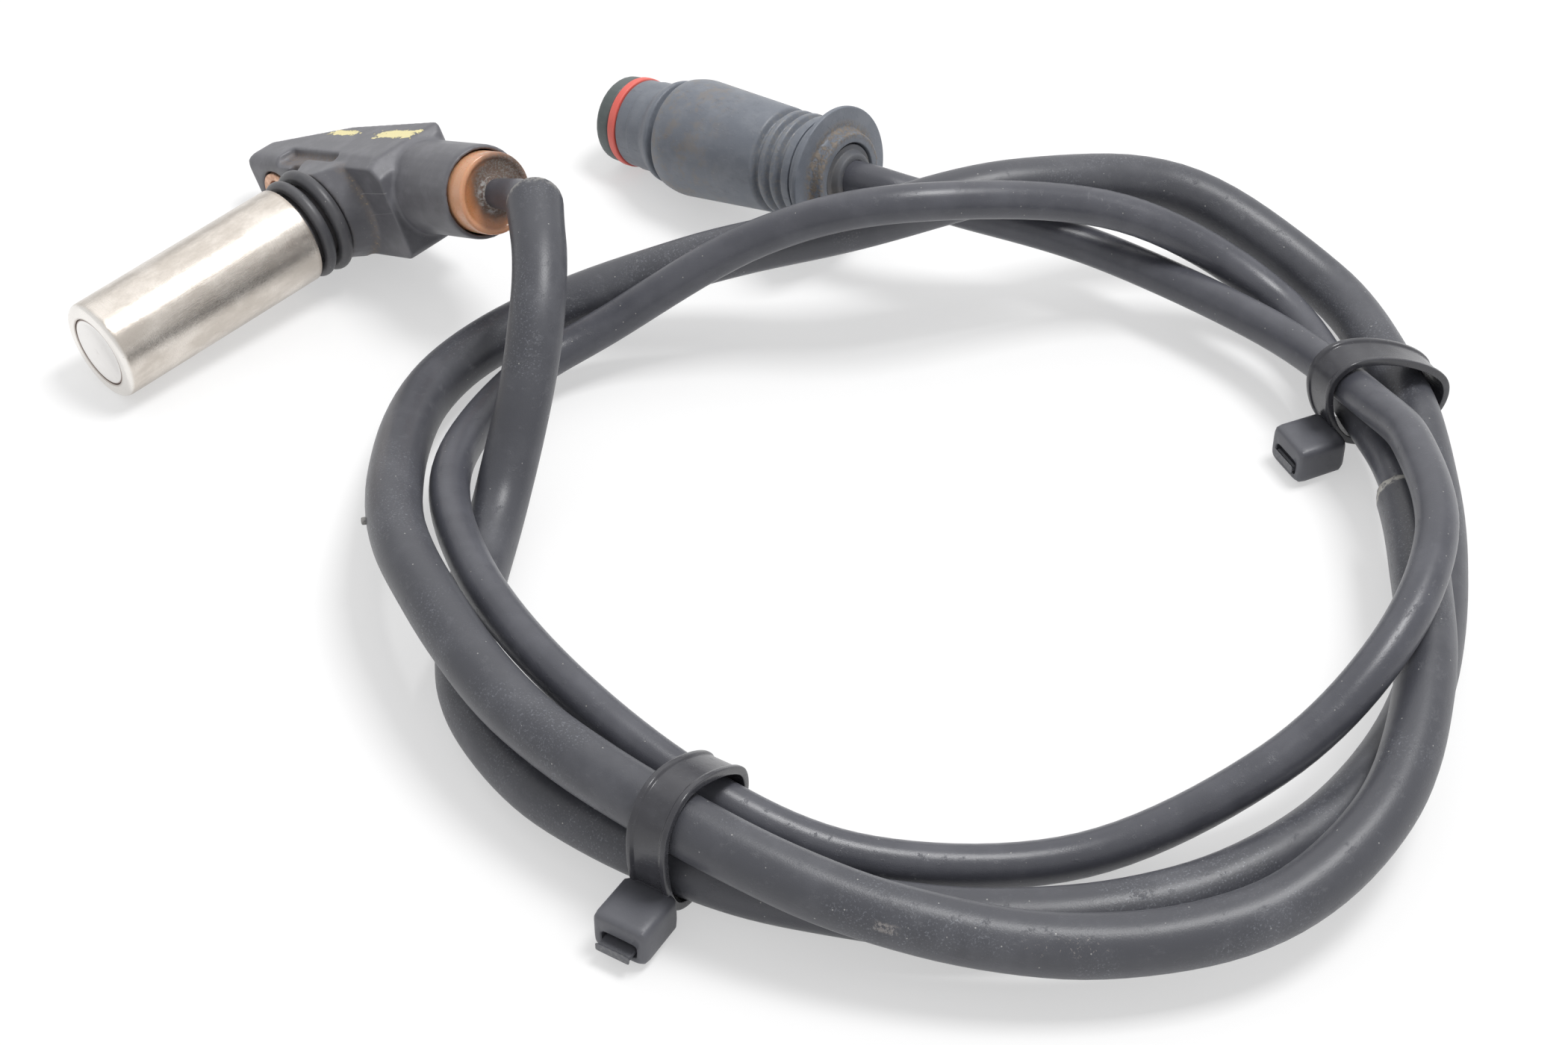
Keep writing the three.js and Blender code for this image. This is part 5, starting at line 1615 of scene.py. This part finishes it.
@dataclass
class Studio:
    """The camera at the photograph's angle, soft light and a white floor. Eye is in mm, aim in
    metres, and glow is the share of plain white that the floor shows to the camera."""

    eye: tuple[float, float, float] = (228.59, 356.07, 323.61)
    forward: tuple[float, float, float] = (-0.5232, -0.5277, -0.6691)
    rightward: tuple[float, float, float] = (-0.7101, 0.7041, 0.0)
    lens: float = 67.8
    sensor_width: float = 36.0
    clip: tuple[float, float] = (0.01, 50.0)
    aim: tuple[float, float, float] = (-0.03, 0.09, 0.0)
    floor_half: float = 3.0
    glow: float = 0.5
    paint: Colour = (0.95, 0.95, 0.95, 1.0)

    def camera(self) -> None:
        """Places the camera: its axes are right, right x forward, and minus forward."""
        right, forward = np.array(self.rightward), np.array(self.forward)
        right, forward = right / np.linalg.norm(right), forward / np.linalg.norm(forward)
        axes = np.stack([right, np.cross(right, forward), -forward], 1)
        matrix = np.eye(4)
        matrix[:3, :3] = axes
        matrix[:3, 3] = np.array(self.eye) * MM
        data = bpy.data.cameras.new("camera")
        data.lens = self.lens
        data.sensor_width = self.sensor_width
        data.clip_start, data.clip_end = self.clip
        camera = bpy.data.objects.new("camera", data)
        bpy.context.scene.collection.objects.link(camera)
        camera.matrix_world = Matrix(matrix.tolist())
        bpy.context.scene.camera = camera

    def lamp(self, name: str, place: tuple[float, float, float], size: float, power: float) -> None:
        """Hangs a square area lamp that looks at the bundle's middle.

        Args:
            name: its name.
            place: its place in metres.
            size: length of its side in metres.
            power: its power in watts.
        """
        data = bpy.data.lights.new(name, "AREA")
        data.size = size
        data.energy = power
        lamp = bpy.data.objects.new(name, data)
        bpy.context.scene.collection.objects.link(lamp)
        lamp.location = place
        aim = Vector(self.aim) - Vector(place)
        lamp.rotation_euler = aim.to_track_quat("-Z", "Y").to_euler()

    def world(self, light: float) -> None:
        """Lights the scene evenly, and shows white to the camera and in reflections.

        Args:
            light: strength of the even light.
        """
        world = bpy.data.worlds.new("studio")
        r = Recipe("studio", world)
        strength = r.add("MapRange", {}, {"Value": r.seen(), "To Min": light, "To Max": 1.0})
        r.add("OutputWorld", {}, {"Surface": r.add("Background", {}, {"Strength": strength})})
        bpy.context.scene.world = world

    def floor(self) -> None:
        """Lays the white floor, which keeps shadows in the rest of its colour."""
        half = self.floor_half
        corners = [(-half, -half, 0), (half, -half, 0), (half, half, 0), (-half, half, 0)]
        mesh = bpy.data.meshes.new("floor")
        mesh.from_pydata(corners, [], [(0, 1, 2, 3)])
        floor = bpy.data.objects.new("floor", mesh)
        bpy.context.scene.collection.objects.link(floor)
        r = Recipe("floor_white")
        lit = r.add("BsdfDiffuse", {}, {"Color": self.paint})
        white = r.add("Emission", {}, {"Strength": 1.0})
        mixed = r.add("MixShader", {}, {0: r.seen() * self.glow, 1: lit, 2: white})
        r.add("OutputMaterial", {}, {"Surface": mixed})
        mesh.materials.append(r.owner)


def main() -> None:
    """Makes the camera and the cord first, then the other pieces, the light and the floor."""
    logging.basicConfig(level=logging.INFO, format="%(name)s: %(message)s")
    studio = Studio()
    studio.camera()
    run = CableRun()
    cable, path = run.cable()
    jacket = RubberFinish("cable_jacket", srgb(73, 74, 81), srgb(95, 96, 103),
                          roughness=0.26, scuffs=0.12)
    dress(cable, jacket.material(), ["signal_cable"])
    sleeve, length = run.sleeve()
    dress(sleeve, SleeveFinish(length / 10).material(), ["rubber_sleeve"])
    ties = [
        CableTie("tie_front", "front_cable_tie", (38.73, 145.35), turn=14.0, shift=0.0,
                 stiffness=9.0, tail=1.7).make(run),
        CableTie("tie_right", "right_cable_tie", (-111.97, 155.25), turn=-20.0, shift=-2.5,
                 stiffness=11.0, tail=0.5).make(run),
    ]
    Barrel().make()
    HousingBody().make()
    plug_pieces = Plug().make()
    dress_inside()
    run.exit()
    studio.world(light=0.7)
    studio.lamp("key", (-0.39, 0.31, 1.2), size=0.4, power=10.0)
    studio.lamp("side", (-0.6, -0.5, 1.0), size=1.6, power=4.0)
    studio.floor()
    bpy.context.scene.view_settings.view_transform = "Standard"


if __name__ == "__main__":
    main()
    bpy.context.view_layer.update()
